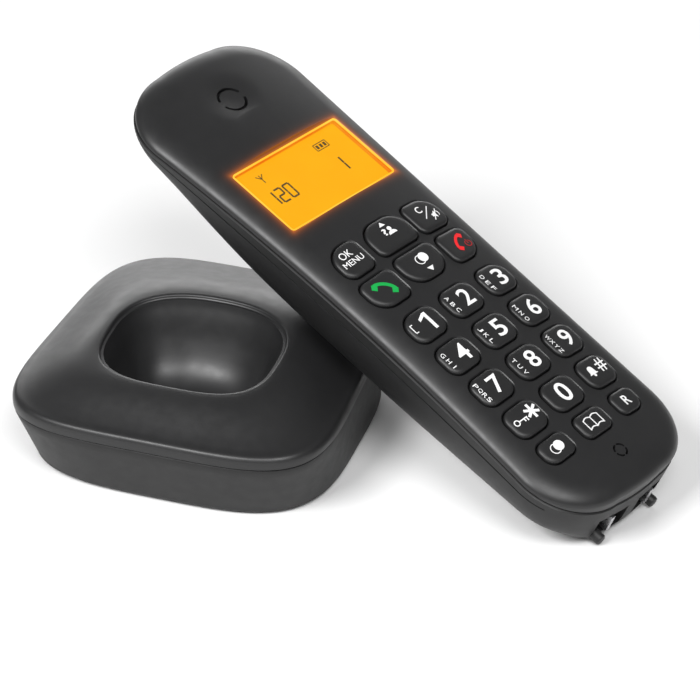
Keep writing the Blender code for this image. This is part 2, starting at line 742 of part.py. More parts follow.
def digit_keys():
    keys = []
    for index, label in enumerate(DIGIT_NAMES):
        row, column = divmod(index, 3)
        centre = ((column - 1) * KEY_PITCH_X, DIGIT_TOP_Y - row * KEY_PITCH_Y)
        width = 10.8 if column == 1 else 10.3
        top_left = 4.2 if label == "1" else DIGIT_ROUND
        top_right = 4.2 if label == "3" else DIGIT_ROUND
        keys.append(("key_" + label, centre, width, 8.8,
                     (top_left, top_right, DIGIT_ROUND, DIGIT_ROUND)))
    return keys


def all_keys():
    return list(UPPER_KEYS) + digit_keys() + list(LOWER_KEYS)


def make_key(name, centre, width, height, radii):
    """A key cap whose rounded top follows the face."""
    levels = ((0.0, -KEY_DEPTH), (0.0, KEY_PROUD - 0.45), (0.7, KEY_PROUD))
    bm = bmesh.new()
    rings = []
    for inset, rise in levels:
        outline = rounded_rectangle(centre, width, height, radii, -inset)
        rings.append([bm.verts.new((x, y, face_height(x, y) + rise)) for x, y in outline])
    for lower, upper in zip(rings, rings[1:]):
        for i in range(len(lower)):
            j = (i + 1) % len(lower)
            bm.faces.new((lower[i], lower[j], upper[j], upper[i]))
    bm.faces.new(rings[0])
    bm.faces.new(rings[-1])
    bmesh.ops.triangulate(bm, faces=bm.faces)
    origin = (*centre, face_height(*centre))
    part(name, bm, (CHARCOAL, 0.55), origin, HANDSET)


# ---------------------------------------------------------------- handset pieces

def make_front_case():
    case = part("handset_front_case", loft(front_skin(0.0)[::-1] + front_skin(CASE_WALL)),
                (CHARCOAL, 0.45), parent=HANDSET)
    openings = bmesh.new()
    for _, centre, width, height, radii in all_keys():
        add_prism(openings, rounded_rectangle(centre, width, height, radii, FIT_GAP), *THROUGH_FACE)
    screen_centre = (0.0, (SCREEN_TOP + SCREEN_BOTTOM) / 2.0)
    screen = rounded_rectangle(screen_centre, 2.0 * SCREEN_HALF_WIDTH,
                               SCREEN_TOP - SCREEN_BOTTOM, (SCREEN_CORNER,) * 4)
    add_prism(openings, screen, *THROUGH_FACE)
    for start in (20.0, 200.0):
        slot = arc_slot((0.0, EARPIECE_Y), *EARPIECE_SLOT, start, 140.0, 6)
        add_prism(openings, slot, *THROUGH_FACE)
    for start in (15.0, 105.0, 195.0, 285.0):
        slot = arc_slot((0.0, MICROPHONE_Y), *MICROPHONE_SLOT, start, 60.0, 2)
        add_prism(openings, slot, *THROUGH_FACE)
    boolean(case, cutter("front_case_openings", openings, HANDSET))


def screw_seat(spot):
    """Height at which a handset screw's counterbore ends."""
    return back_height(*spot) + DOOR_THICKNESS + SCREW_HEAD + 1.5


def make_rear_case():
    case = part("handset_rear_case", loft(back_rings(0.0)), (CHARCOAL, 0.5), parent=HANDSET)
    skin = back_rings(CASE_WALL)[1:]
    cavity = cutter("rear_cavity", loft([lowered(skin[0], -3.0)] + skin), HANDSET)
    block = box((-BLOCK_HALF_WIDTH, BLOCK_BOTTOM_Y, FAR_BELOW),
                (BLOCK_HALF_WIDTH, BLOCK_TOP_Y, BAY_CEILING + 1.0))
    boolean(cavity, cutter("battery_block", block, HANDSET))
    boolean(case, cavity)
    pockets = bmesh.new()
    add_box(pockets, (-BAY_HALF_WIDTH, BAY_BOTTOM_Y, FAR_BELOW),
            (BAY_HALF_WIDTH, BAY_TOP_Y, BAY_CEILING))
    for side in (-1, 1):
        near, far = sorted((side * SLOT_INNER_X, side * SLOT_OUTER_X))
        add_box(pockets, (near, -86.0, STRIP_LOW - SLOT_MARGIN),
                (far, SLOT_END_Y, STRIP_HIGH + SLOT_MARGIN))
    for x, y in HANDSET_SCREW_SPOTS:
        seat = screw_seat((x, y))
        add_cylinder(pockets, (x, y, seat - 2.0), CASE_SCREW_HEAD_RADIUS + 0.3, 4.0, steps=12)
        add_cylinder(pockets, (x, y, seat + 3.0), CASE_SCREW_SHANK_RADIUS + 0.3, 8.0, steps=12)
    tool = cutter("rear_case_pockets", pockets, HANDSET)
    boolean(case, tool)
    case.modifiers[-1].use_self = True
    recess = door_plan(FIT_GAP, DOOR_THICKNESS + FIT_GAP)
    boolean(case, cutter("door_recess", recess, HANDSET))
    nubs = bmesh.new()
    for side in (-1, 1):
        add_cylinder(nubs, (side * NUB_X, NUB_Y, NUB_Z), NUB_RADIUS, NUB_LENGTH, "Y", 14)
    boolean(case, cutter("guide_nubs", nubs, HANDSET), "UNION")


def make_battery_door():
    door = part("battery_door", loft(back_rings(0.0)), (CHARCOAL, 0.5), parent=HANDSET)
    plan = door_plan(0.0, DOOR_THICKNESS)
    boolean(door, cutter("door_plan", plan, HANDSET), "INTERSECT")


def make_display():
    middle = (SCREEN_TOP + SCREEN_BOTTOM) / 2.0
    height = SCREEN_TOP - SCREEN_BOTTOM - 2.0 * FIT_GAP
    width = 2.0 * (SCREEN_HALF_WIDTH - FIT_GAP)
    lens = rounded_rectangle((0.0, middle), width, height, (WINDOW_CORNER,) * 4)
    low, high = WINDOW_DEPTH
    glass = prism(lens, lambda x, y: crown(y) - low, lambda x, y: crown(y) - high)
    part("display_window", glass, (AMBER, 0.08, 0.0, 0.35), (0.0, middle, 0.0), HANDSET)
    panel = box((-PANEL_HALF_WIDTH, SCREEN_BOTTOM - PANEL_MARGIN, PANEL_LOW),
                (PANEL_HALF_WIDTH, SCREEN_TOP + PANEL_MARGIN, PANEL_HIGH))
    part("lcd_panel", panel, (AMBER, 0.3), (0.0, middle, PANEL_HIGH), HANDSET)


def make_handset_inside():
    mat = rounded_rectangle((0.0, MAT_Y), *MAT_SIZE, (MAT_CORNER,) * 4)
    part("keypad_mat", prism(mat, MAT_LOW, MAT_HIGH), (RUBBER_GREY, 0.8),
         (0.0, MAT_Y, MAT_LOW), HANDSET)
    board = rounded_rectangle((0.0, BOARD_Y), *BOARD_SIZE, (BOARD_CORNER,) * 4)
    part("handset_circuit_board", prism(board, BOARD_LOW, BOARD_HIGH), (BOARD_GREEN, 0.5),
         (0.0, BOARD_Y, BOARD_LOW), HANDSET)
    centre = (0.0, EARPIECE_Y, EARPIECE_Z)
    part("earpiece_speaker", cylinder(centre, EARPIECE_RADIUS, EARPIECE_LENGTH, steps=24),
         (DARK_GREY, 0.5), centre, HANDSET)
    centre = (0.0, CAPSULE_Y, CAPSULE_Z)
    part("microphone", cylinder(centre, CAPSULE_RADIUS, CAPSULE_LENGTH, steps=16),
         (STEEL, 0.4, 1.0), centre, HANDSET)
    part("ringer_speaker", cylinder(RINGER_CENTRE, RINGER_RADIUS, RINGER_LENGTH, steps=24),
         (DARK_GREY, 0.5), RINGER_CENTRE, HANDSET)
    make_power_parts()


def make_power_parts():
    """The cells, their contacts, the charging strips and the screws under the door."""
    cell_y = (BAY_TOP_Y + BAY_BOTTOM_Y) / 2.0
    for side, label in ((-1, "left"), (1, "right")):
        x = side * (CELL_RADIUS + 0.25)
        centre = (x, cell_y, BAY_CEILING - CELL_RADIUS - CELL_GAP)
        cell = cylinder(centre, CELL_RADIUS, CELL_LENGTH, "Y", 20)
        part("battery_cell_" + label, cell, (SLEEVE_GREEN, 0.35), centre, HANDSET)
        x = side * STRIP_X
        blade = box((x - STRIP_WIDTH / 2.0, STRIP_FACE_Y, STRIP_LOW),
                    (x + STRIP_WIDTH / 2.0, STRIP_BACK_Y, STRIP_HIGH))
        part("charge_strip_" + label, blade, (STEEL, 0.25, 1.0), (x, STRIP_FACE_Y, STRIP_Z),
             HANDSET)
    for y, label in ((BAY_TOP_Y - PLATE_INSET, "upper"), (BAY_BOTTOM_Y + PLATE_INSET, "lower")):
        plate = box((-PLATE_HALF_WIDTH, y - 0.5, PLATE_LOW), (PLATE_HALF_WIDTH, y + 0.5, PLATE_HIGH))
        part("battery_contact_" + label, plate, (STEEL, 0.3, 1.0), (0.0, y, PLATE_LOW), HANDSET)
    for number, spot in enumerate(HANDSET_SCREW_SPOTS, 1):
        head = screw_seat(spot) - SCREW_HEAD - FIT_GAP
        screw("handset_screw_%d" % number, spot, head, CASE_SCREW_HEAD_RADIUS,
              CASE_SCREW_SHANK_RADIUS, CASE_SCREW_LENGTH, HANDSET)


def frame_empty(name, matrix, parent=None):
    empty = bpy.data.objects.new(name, None)
    empty.parent = parent
    empty.matrix_local = matrix
    PARTS.objects.link(empty)
    return empty


def handset_frame():
    """The empty that carries the handset: heading and pitch of its long axis."""
    across = Vector((math.cos(HANDSET_HEADING), math.sin(HANDSET_HEADING), 0.0))
    level = Vector((-math.sin(HANDSET_HEADING), math.cos(HANDSET_HEADING), 0.0))
    along = level * math.cos(HANDSET_PITCH) + Vector((0.0, 0.0, math.sin(HANDSET_PITCH)))
    out = across.cross(along)
    turn = Matrix((across, along, out)).transposed().to_4x4()
    return frame_empty("handset_frame", Matrix.Translation(Vector(HANDSET_CENTRE) * MM) @ turn, BASE)


clear_scene()
PARTS = new_collection("cordless_phone")
CUTTERS = new_collection("cutters")
BASE = frame_empty("base_frame", Matrix.Translation(Vector(PHONE_ORIGIN) * -MM))
HANDSET = handset_frame()
make_top_shell()
make_bottom_shell()
make_base_fittings()
make_front_case()
make_rear_case()
make_battery_door()
make_display()
for key in all_keys():
    make_key(*key)
make_handset_inside()
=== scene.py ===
"""The visible skin of the cordless telephone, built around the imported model.

Shapes are worked out in millimetres, in the base's frame or in the handset's own frame, and
one matrix for each puts them in the row frame. The handset's frame has +X across it, +Y up
to the earpiece and +Z out of its face.
"""
import json
import math

import bmesh
import bpy
from mathutils import Matrix, Vector


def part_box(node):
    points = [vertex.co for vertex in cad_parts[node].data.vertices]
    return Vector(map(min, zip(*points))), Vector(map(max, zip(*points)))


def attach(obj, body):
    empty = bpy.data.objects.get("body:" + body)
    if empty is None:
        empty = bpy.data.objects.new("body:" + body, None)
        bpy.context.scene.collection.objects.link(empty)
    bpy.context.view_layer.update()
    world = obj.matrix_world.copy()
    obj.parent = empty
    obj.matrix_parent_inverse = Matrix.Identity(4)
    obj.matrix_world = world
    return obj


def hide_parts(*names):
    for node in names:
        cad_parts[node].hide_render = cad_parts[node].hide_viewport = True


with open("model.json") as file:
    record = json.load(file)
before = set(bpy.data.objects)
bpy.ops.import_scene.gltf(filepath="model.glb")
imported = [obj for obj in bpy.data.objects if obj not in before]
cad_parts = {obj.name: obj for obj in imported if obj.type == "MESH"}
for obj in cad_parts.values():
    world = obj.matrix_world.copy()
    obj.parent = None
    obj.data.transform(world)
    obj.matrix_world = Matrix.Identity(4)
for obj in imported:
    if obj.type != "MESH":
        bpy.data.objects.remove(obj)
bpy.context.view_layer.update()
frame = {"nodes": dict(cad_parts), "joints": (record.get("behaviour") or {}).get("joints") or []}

MM = 0.001
GAP = 0.35

# Base.
BASE_HALF_WIDTH = 41.0
BASE_FRONT_DEPTH = 43.5
BASE_REAR_DEPTH = 39.8
BASE_CORNER_POWER = 4.3
BASE_REAR_TAPER = 0.068
BASE_WALL = 2.0
UNDERSIDE_Z = 0.8
FOOT_SIDE_INSET = 1.1
FOOT_FRONT_INSET = 5.8
FOOT_REAR_INSET = 1.2
FOOT_FRONT_POWER = 3.5
FOOT_REAR_POWER = 4.2
FOOT_REAR_TAPER = 0.03
SEAM_FRONT_Z = 18.0
SEAM_RISE = 0.02
SHOULDER_INSET = 2.4
SHOULDER_RISE = 3.9
BASE_STEPS = 160
WELL_CENTRE_Y = -9.0
WELL_HALF_WIDTH = 22.6
WELL_FRONT_DEPTH = 18.6
WELL_REAR_DEPTH = 18.5
WELL_FRONT_POWER = 3.2
WELL_REAR_POWER = 2.4
RIM_FRONT_Z = 28.0
RIM_RISE = 0.095
WELL_FLOOR_Z = 11.0
DOME_BULGE_FRONT = 0.8
DOME_BULGE_REAR = 1.5
CONTACT_X = 7.7
CONTACT_Y = -13.5
SCREW_SPOTS = ((-29.0, -11.0), (29.0, -11.0), (-26.0, 15.0), (26.0, 15.0))
FOOT_SPOTS = ((-27.0, -24.0), (27.0, -24.0), (-29.0, 25.0), (29.0, 25.0))
PHONE_SOCKET_X = -13.0
POWER_SOCKET_X = 13.0
SOCKET_Z = 9.3
BUTTON_Z = 9.5
BUTTON_SIZE = (9.0, 5.0)
BUTTON_CORNER = 2.4
BUTTON_INNER_Y = 31.0
BUTTON_FACE_Y = 39.9
REAR_WALL_SPAN = (34.0, 46.0)
PHONE_WINDOW = (10.8, 7.6)
PHONE_WINDOW_CORNER = 0.6
POWER_HOLE_RADIUS = 4.0
CONTACT_HOLE_RADIUS = 1.5
COUNTERBORE_RADIUS = 2.9
SCREW_BORE_RADIUS = 1.5
FOOT_HOLE_RADIUS = 3.8

# Handset.
HALF_LENGTH = 81.0
TOP_EXTRA = 1.0
WAIST_HALF_WIDTH = 25.2
WAIST_Y = -13.0
FLARE = 1.5
FLARE_REACH = 62.0
TOP_CORNER = 17.5
BOTTOM_CORNER = 17.5
END_BOW = 0.6
FACE_CROWN = 2.03
FACE_RADIUS = 140.0
CASE_WALL = 1.8
SEAM_DEPTH = 5.5
LIP_DEPTH = 6.2
BACK_Y = -18.0
BACK_DEPTH = 21.1
BACK_TOP_DEPTH = 8.5
BACK_TOP_POWER = 1.9
BACK_LOW_RISE = 5.5
BELLY = 5.35
BELLY_Y = 8.0
BELLY_TOP_REACH = 52.0
BELLY_LOW_REACH = 118.0
BELLY_FLAT = 8.5
BELLY_SIDE = 12.0
END_UPRIGHT = 0.1
ROUND_INSET = 6.0
ROUND_DROP = 2.6
SCREEN_HALF_WIDTH = 19.7
SCREEN_TOP = 45.8
SCREEN_BOTTOM = 23.8
SCREEN_CENTRE = (0.0, (SCREEN_TOP + SCREEN_BOTTOM) / 2.0)
SCREEN_CORNER = 1.0
EARPIECE_Y = 64.4
EARPIECE_SLOT = (3.3, 4.1)
DISH_RADIUS = 9.5
DISH_DEPTH = 0.8
MICROPHONE_Y = -71.4
MICROPHONE_SLOT = (1.45, 2.0)
DOOR_HALF_WIDTH = 15.2
DOOR_TOP_Y = -8.0
DOOR_BOTTOM_Y = -66.0
DOOR_THICKNESS = 1.7
DOOR_CORNERS = (2.5, 2.5, 5.0, 5.0)
GRIP_TOP_Y = -13.0
GRIP_PITCH = 2.2
GRIP_ROWS = 5
GRIP_SIZE = (14.0, 0.9)
GRIP_DEPTH = 0.45
SLOT_INNER_X = 2.2
SLOT_OUTER_X = 12.6
SLOT_END_Y = -74.8
SLOT_LOW = -16.2
SLOT_HIGH = -10.0
NUB_X = 10.6
NUB_Y = -77.0
NUB_Z = -16.7
NUB_RADIUS = 1.5
NUB_LENGTH = 5.0
FAR_BELOW = -32.0
THROUGH_FACE = (-7.0, 7.0)
BOARD_CENTRE = Vector((0.0, 1.0, -5.3))

# Keys.
KEY_PROUD = 0.7
KEY_DEPTH = 2.5
KEY_PITCH_X = 14.0
KEY_PITCH_Y = 11.6
DIGIT_TOP_Y = -16.4
SMALL = 2.2
WIDE = 5.2
DIGIT_ROUND = 3.0
INK = 0.035

WHITE_INK = (0.86, 0.86, 0.86)
GREEN_INK = (0.0, 0.36, 0.06)
RED_INK = (0.80, 0.01, 0.015)


# ---------------------------------------------------------------- frames

def joint_axis(name):
    for joint in frame["joints"]:
        if joint["name"] == name:
            return Vector(joint["axis"]).normalized()
    raise ValueError("no joint named " + name)


def handset_matrix():
    """From the handset's millimetre frame to the row frame, read off a key's joint and the board."""
    out = -joint_axis("key_5_press")
    across = Vector((0.0, 0.0, 1.0)).cross(out).normalized()
    along = out.cross(across)
    points = [v.co for v in frame["nodes"]["handset_circuit_board"].data.vertices]
    origin = Vector()
    for axis, offset in zip((across, along, out), BOARD_CENTRE):
        reach = [axis.dot(point) for point in points]
        origin += axis * ((min(reach) + max(reach)) / 2.0 - offset * MM)
    turn = Matrix((across, along, out)).transposed().to_4x4()
    return Matrix.Translation(origin) @ turn @ Matrix.Scale(MM, 4)


def base_matrix():
    low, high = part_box("base_bottom_shell")
    top_low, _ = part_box("base_top_shell")
    return Matrix.Translation(((low.x + high.x) / 2.0, top_low.y + BASE_FRONT_DEPTH * MM, 0.0)) \
        @ Matrix.Scale(MM, 4)


HANDSET = handset_matrix()
BASE = base_matrix()


# ---------------------------------------------------------------- meshes

def add_object(name, data):
    item = bpy.data.objects.new(name, data)
    bpy.context.scene.collection.objects.link(item)
    return item


def finish_mesh(name, bm, matrix, body, look, angle=35.0):
    """Turns a bmesh in millimetres into a piece that rides on a body."""
    bmesh.ops.recalc_face_normals(bm, faces=bm.faces)
    mesh = bpy.data.meshes.new(name)
    bm.to_mesh(mesh)
    bm.free()
    places = [tuple(v.co * MM) for v in mesh.vertices]
    mesh.transform(matrix)
    mesh.shade_smooth()
    mesh.set_sharp_from_angle(angle=math.radians(angle))
    mesh.materials.append(look)
    place = mesh.attributes.new("place", "FLOAT_VECTOR", "POINT")
    place.data.foreach_set("vector", [value for point in places for value in point])
    item = add_object(name, mesh)
    if body is not None:
        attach(item, body)
    return item


def boolean(bm, tool, operation="DIFFERENCE"):
    """Applies a Boolean to two bmeshes and returns the result; both inputs are freed."""
    objects = []
    for source in (bm, tool):
        bmesh.ops.recalc_face_normals(source, faces=source.faces)
        mesh = bpy.data.meshes.new("boolean")
        source.to_mesh(mesh)
        source.free()
        objects.append(add_object("boolean", mesh))
    target, cutter = objects
    modifier = target.modifiers.new("cut", "BOOLEAN")
    modifier.operation = operation
    modifier.solver = "EXACT"
    modifier.use_self = True
    modifier.object = cutter
    evaluated = target.evaluated_get(bpy.context.evaluated_depsgraph_get())
    result = bmesh.new()
    result.from_mesh(evaluated.to_mesh())
    evaluated.to_mesh_clear()
    for item in objects:
        mesh = item.data
        bpy.data.objects.remove(item)
        bpy.data.meshes.remove(mesh)
    return result


def ring_verts(bm, rings):
    return [[bm.verts.new(point) for point in ring] for ring in rings]


def bridge(bm, lower, upper):
    count = len(lower)
    for i in range(count):
        j = (i + 1) % count
        bm.faces.new((lower[i], lower[j], upper[j], upper[i]))


def bridge_all(bm, verts):
    for lower, upper in zip(verts, verts[1:]):
        bridge(bm, lower, upper)


def loft(rings):
    """Skins rings of equal length and closes both ends with strips between mirrored points."""
    bm = bmesh.new()
    verts = ring_verts(bm, rings)
    bridge_all(bm, verts)
    count = len(rings[0])
    half = count // 2
    for ring in (verts[0], verts[-1]):
        bm.faces.new((ring[0], ring[1], ring[count - 1]))
        for i in range(1, half - 1):
            bm.faces.new((ring[i], ring[i + 1], ring[count - i - 1], ring[count - i]))
        bm.faces.new((ring[half - 1], ring[half], ring[half + 1]))
    return bm


def closed_skin(rings):
    """Skins rings of equal length, the last one back to the first."""
    bm = bmesh.new()
    verts = ring_verts(bm, rings)
    bridge_all(bm, verts + verts[:1])
    return bm


def add_prism(bm, outline, low, high):
    """Stands an outline up between two heights; a height is a number or a function of x, y."""
    def level(value, point):
        return value(*point) if callable(value) else value
    bottom = [bm.verts.new((*point, level(low, point))) for point in outline]
    top = [bm.verts.new((*point, level(high, point))) for point in outline]
    bm.faces.new(bottom)
    bm.faces.new(top)
    bridge(bm, bottom, top)


def add_levels(bm, rings):
    """Skins outlines of equal length, with one n-gon at each end."""
    verts = ring_verts(bm, rings)
    bridge_all(bm, verts)
    bm.faces.new(verts[0])
    bm.faces.new(verts[-1])


def add_box(bm, low, high):
    centre = (Vector(low) + Vector(high)) / 2.0
    size = Vector(high) - Vector(low)
    matrix = Matrix.Translation(centre) @ Matrix.Diagonal((*size, 1.0))
    bmesh.ops.create_cube(bm, size=1.0, matrix=matrix)


def add_cylinder(bm, centre, radius, length, axis="Z", steps=48):
    turn = {"X": Matrix.Rotation(math.pi / 2.0, 4, "Y"),
            "Y": Matrix.Rotation(-math.pi / 2.0, 4, "X"),
            "Z": Matrix.Identity(4)}[axis]
    bmesh.ops.create_cone(bm, cap_ends=True, segments=steps, radius1=radius, radius2=radius,
                          depth=length, matrix=Matrix.Translation(centre) @ turn)


def add_turned(bm, profile, matrix, steps=48):
    """Turns a profile of radius and height about Z; it starts and ends on the axis."""
    rings = []
    for radius, height in profile:
        if radius == 0.0:
            rings.append([bm.verts.new(matrix @ Vector((0.0, 0.0, height)))])
            continue
        ring = []
        for step in range(steps):
            angle = math.tau * step / steps
            point = Vector((radius * math.cos(angle), radius * math.sin(angle), height))
            ring.append(bm.verts.new(matrix @ point))
        rings.append(ring)
    for lower, upper in zip(rings, rings[1:]):
        if len(lower) == 1 or len(upper) == 1:
            tip, ring = (lower[0], upper) if len(lower) == 1 else (upper[0], lower)
            for i in range(steps):
                bm.faces.new((tip, ring[i], ring[(i + 1) % steps]))
        else:
            bridge(bm, lower, upper)


def polar(radius, degrees):
    angle = math.radians(degrees)
    return radius * math.cos(angle), radius * math.sin(angle)


def moved(points, centre):
    return [(x + centre[0], y + centre[1]) for x, y in points]


def turned(points, degrees):
    cosine, sine = polar(1.0, degrees)
    return [(x * cosine - y * sine, x * sine + y * cosine) for x, y in points]


def arc_points(centre, radius, start, end, steps):
    """Points along an arc, both ends included; angles in degrees."""
    return moved([polar(radius, start + (end - start) * step / steps)
                  for step in range(steps + 1)], centre)


def rounded_rectangle(centre, width, height, radii, grow=0.0, steps=8):
    """Outline with its own radius at the top left, top right, bottom right and bottom left."""
    half_x = width / 2.0 + grow
    half_y = height / 2.0 + grow
    signs = ((-1, 1), (1, 1), (1, -1), (-1, -1))
    outline = []
    for corner, ((sign_x, sign_y), radius) in enumerate(zip(signs, radii)):
        reach = max(radius + grow, 0.05)
        middle = (centre[0] + sign_x * (half_x - reach), centre[1] + sign_y * (half_y - reach))
        outline += arc_points(middle, reach, 180.0 - 90.0 * corner, 90.0 - 90.0 * corner, steps)
    return outline


def arc_slot(centre, inner, outer, start, sweep, steps=16, end_steps=6):
    """Outline of a slot bent along an arc, with round ends; angles in degrees."""
    end = start + sweep
    radius = (outer - inner) / 2.0
    first, last = (arc_points(centre, (inner + outer) / 2.0, angle, angle, 1)[0]
                   for angle in (start, end))
    outline = arc_points(centre, outer, start, end, steps)
    outline += arc_points(last, radius, end, end + 180.0, end_steps)[1:-1]
    outline += arc_points(centre, inner, end, start, steps)
    outline += arc_points(first, radius, start + 180.0, start + 360.0, end_steps)[1:-1]
    return outline


def smooth_stations(stations, steps):
    """Catmull-Rom points through a list of number tuples."""
    result = []
    last = len(stations) - 1
    for i in range(last):
        before, start = stations[max(i - 1, 0)], stations[i]
        end, after = stations[i + 1], stations[min(i + 2, last)]
        for step in range(steps):
            t = step / steps
            result.append(tuple(
                0.5 * (2.0 * b + (c - a) * t + (2.0 * a - 5.0 * b + 4.0 * c - d) * t * t
                       + (3.0 * b - a - 3.0 * c + d) * t ** 3)
                for a, b, c, d in zip(before, start, end, after)))
    return result + [tuple(stations[-1])]


def smooth_rings(rings, steps):
    """Rings through the given ones, on a smooth curve down each column of points."""
    columns = [smooth_stations([ring[i] for ring in rings], steps) for i in range(len(rings[0]))]
    return [[column[k] for column in columns] for k in range(len(columns[0]))]


# ---------------------------------------------------------------- materials

def scaled(colour, factor):
    return tuple(min(channel * factor, 1.0) for channel in colour)


class Look:
    """A Principled material; its noise follows the place attribute or the object's own frame."""

    def __init__(self, name, by_place=False):
        self.material = bpy.data.materials.new(name)
        self.material.use_nodes = True
        self.nodes = self.material.node_tree.nodes
        self.links = self.material.node_tree.links
        self.shader = self.nodes["Principled BSDF"]
        if by_place:
            source = self.nodes.new("ShaderNodeAttribute")
            source.attribute_name = "place"
            self.where = source.outputs["Vector"]
        else:
            self.where = self.nodes.new("ShaderNodeTexCoord").outputs["Object"]

    def feed(self, socket, value):
        """Gives a socket a number, a colour or another node's output."""
        if isinstance(value, bpy.types.NodeSocket):
            self.links.new(value, socket)
        else:
            socket.default_value = value

    def set(self, name, value):
        self.feed(self.shader.inputs[name], value)

    def noise(self, scale, detail=2.0):
        node = self.nodes.new("ShaderNodeTexNoise")
        node.inputs["Scale"].default_value = scale
        node.inputs["Detail"].default_value = detail
        self.links.new(self.where, node.inputs["Vector"])
        return node.outputs["Fac"]

    def ramp(self, value, low, high):
        """Colours or greys between two ends; value runs over the middle of its range."""
        node = self.nodes.new("ShaderNodeValToRGB")
        ends = zip(node.color_ramp.elements, (0.3, 0.7), (low, high))
        for element, position, colour in ends:
            element.position = position
            element.color = (*colour, 1.0)
        self.links.new(value, node.inputs["Fac"])
        return node.outputs["Color"]

    def tint(self, scale, low, high, socket="Base Color"):
        self.set(socket, self.ramp(self.noise(scale), low, high))

    def gloss(self, scale, low, high, detail=2.0):
        self.set("Roughness", self.ramp(self.noise(scale, detail), (low,) * 3, (high,) * 3))

    def maths(self, operation, *values):
        node = self.nodes.new("ShaderNodeMath")
        node.operation = operation
        for socket, value in zip(node.inputs, values):
            self.feed(socket, value)
        return node.outputs["Value"]


def plastic(name, colour, roughness, grain=0.25, depth=0.00002, glow=False):
    """Moulded plastic: a fine spark-eroded grain, with faint drifts of colour and gloss."""
    look = Look(name, by_place=True)
    look.tint(60.0, scaled(colour, 0.93), scaled(colour, 1.07))
    look.gloss(320.0, roughness - 0.03, roughness + 0.03)
    bump = look.nodes.new("ShaderNodeBump")
    bump.inputs["Strength"].default_value = 0.35
    bump.inputs["Distance"].default_value = depth
    look.feed(bump.inputs["Height"], look.noise(1000.0 / grain, 3.0))
    look.set("Normal", bump.outputs["Normal"])
    if glow:
        add_screen_glow(look)
    return look.material


GLOW_REACH = 0.0007
GLOW_PEAK = 0.55


def add_screen_glow(look):
    """Amber light on the face round the display, falling off with distance from its edge."""
    split = look.nodes.new("ShaderNodeSeparateXYZ")
    look.feed(split.inputs[0], look.where)
    halves = (("X", 0.0, SCREEN_HALF_WIDTH),
              ("Y", SCREEN_CENTRE[1], (SCREEN_TOP - SCREEN_BOTTOM) / 2.0))
    squares = []
    for axis, centre, half in halves:
        offset = look.maths("SUBTRACT", split.outputs[axis], centre * MM)
        past = look.maths("SUBTRACT", look.maths("ABSOLUTE", offset), half * MM)
        past = look.maths("MAXIMUM", past, 0.0)
        squares.append(look.maths("MULTIPLY", past, past))
    away = look.maths("DIVIDE", look.maths("SQRT", look.maths("ADD", *squares)), -GLOW_REACH)
    above = look.maths("GREATER_THAN", split.outputs["Z"], -0.004)
    fade = look.maths("MULTIPLY", look.maths("EXPONENT", away), above)
    look.set("Emission Strength", look.maths("MULTIPLY", fade, GLOW_PEAK))
    look.set("Emission Color", (1.0, 0.22, 0.0, 1.0))


def metal(name, colour, roughness):
    look = Look(name)
    look.set("Metallic", 1.0)
    look.tint(400.0, scaled(colour, 0.88), colour)
    look.gloss(900.0, roughness - 0.06, roughness + 0.08, 4.0)
    return look.material


def ink(name, colour, roughness=0.5):
    """Pad-printed ink, a little uneven in colour."""
    look = Look(name)
    look.tint(900.0, scaled(colour, 0.94), colour)
    look.set("Roughness", roughness)
    return look.material


def backlight(name, low, high, strength):
    """Amber light from inside, uneven across the panel."""
    look = Look(name, by_place=True)
    look.tint(70.0, low, high, "Emission Color")
    look.set("Base Color", (0.0, 0.0, 0.0, 1.0))
    look.set("Emission Strength", strength)
    look.set("Specular IOR Level", 0.0)
    return look.material


def clear_window(name):
    look = Look(name)
    look.set("Base Color", (1.0, 0.62, 0.12, 1.0))
    look.set("Alpha", 0.04)
    look.set("Specular IOR Level", 0.1)
    look.gloss(200.0, 0.05, 0.09)
    return look.material


def floor_look(name):
    look = Look(name)
    look.tint(3.0, (0.90, 0.90, 0.90), (0.92, 0.92, 0.92))
    look.set("Roughness", 0.8)
    return look.material


CHARCOAL = (0.013, 0.013, 0.0135)
CASE_LOOK = plastic("handset_case", CHARCOAL, 0.40, glow=True)
BASE_LOOK = plastic("base_case", CHARCOAL, 0.40)
# Painted shade: the lower shell gets a darker copy of the case plastic, standing in for the shade on
# its walls.
SHADED_LOWER_LOOK = plastic("base_lower_painted_shade", scaled(CHARCOAL, 0.35), 0.55)
# Painted shade: the rear case and battery door get a darker copy of the case plastic, standing in
# for the shade on the handset's sides and back.
SHADED_REAR_LOOK = plastic("rear_case", scaled(CHARCOAL, 0.45), 0.5)
KEY_LOOK = plastic("key_cap", scaled(CHARCOAL, 0.85), 0.46, grain=0.2)
DARK_LOOK = plastic("dark_plastic", (0.008, 0.008, 0.0085), 0.5)
RUBBER_LOOK = plastic("rubber", (0.010, 0.010, 0.010), 0.8, grain=0.5, depth=0.00005)
STEEL_LOOK = metal("plated_steel", (0.72, 0.72, 0.74), 0.28)
GOLD_LOOK = metal("gold_plate", (0.86, 0.62, 0.26), 0.22)
BOARD_LOOK = plastic("solder_mask", (0.01, 0.12, 0.05), 0.35, grain=1.2)
CELL_LOOK = plastic("cell_sleeve", (0.05, 0.26, 0.10), 0.3, grain=2.0)
PANEL_LOOK = backlight("amber_panel", (1.0, 0.420, 0.001), (1.0, 0.450, 0.002), 1.0)
RIM_LOOK = backlight("amber_rim", (1.0, 0.50, 0.03), (1.0, 0.62, 0.08), 1.15)
WALL_LOOK = backlight("amber_wall", (1.0, 0.17, 0.0), (1.0, 0.30, 0.01), 0.9)
SEGMENT_LOOK = ink("lcd_segment", (0.004, 0.003, 0.002), 0.8)
WINDOW_LOOK = clear_window("display_window")
WHITE_LOOK = ink("white_ink", WHITE_INK)
GREEN_LOOK = ink("green_ink", GREEN_INK)
RED_LOOK = ink("red_ink", RED_INK)
DULL_RED_LOOK = ink("dull_red_ink", scaled(RED_INK, 0.45))


# ---------------------------------------------------------------- base shapes

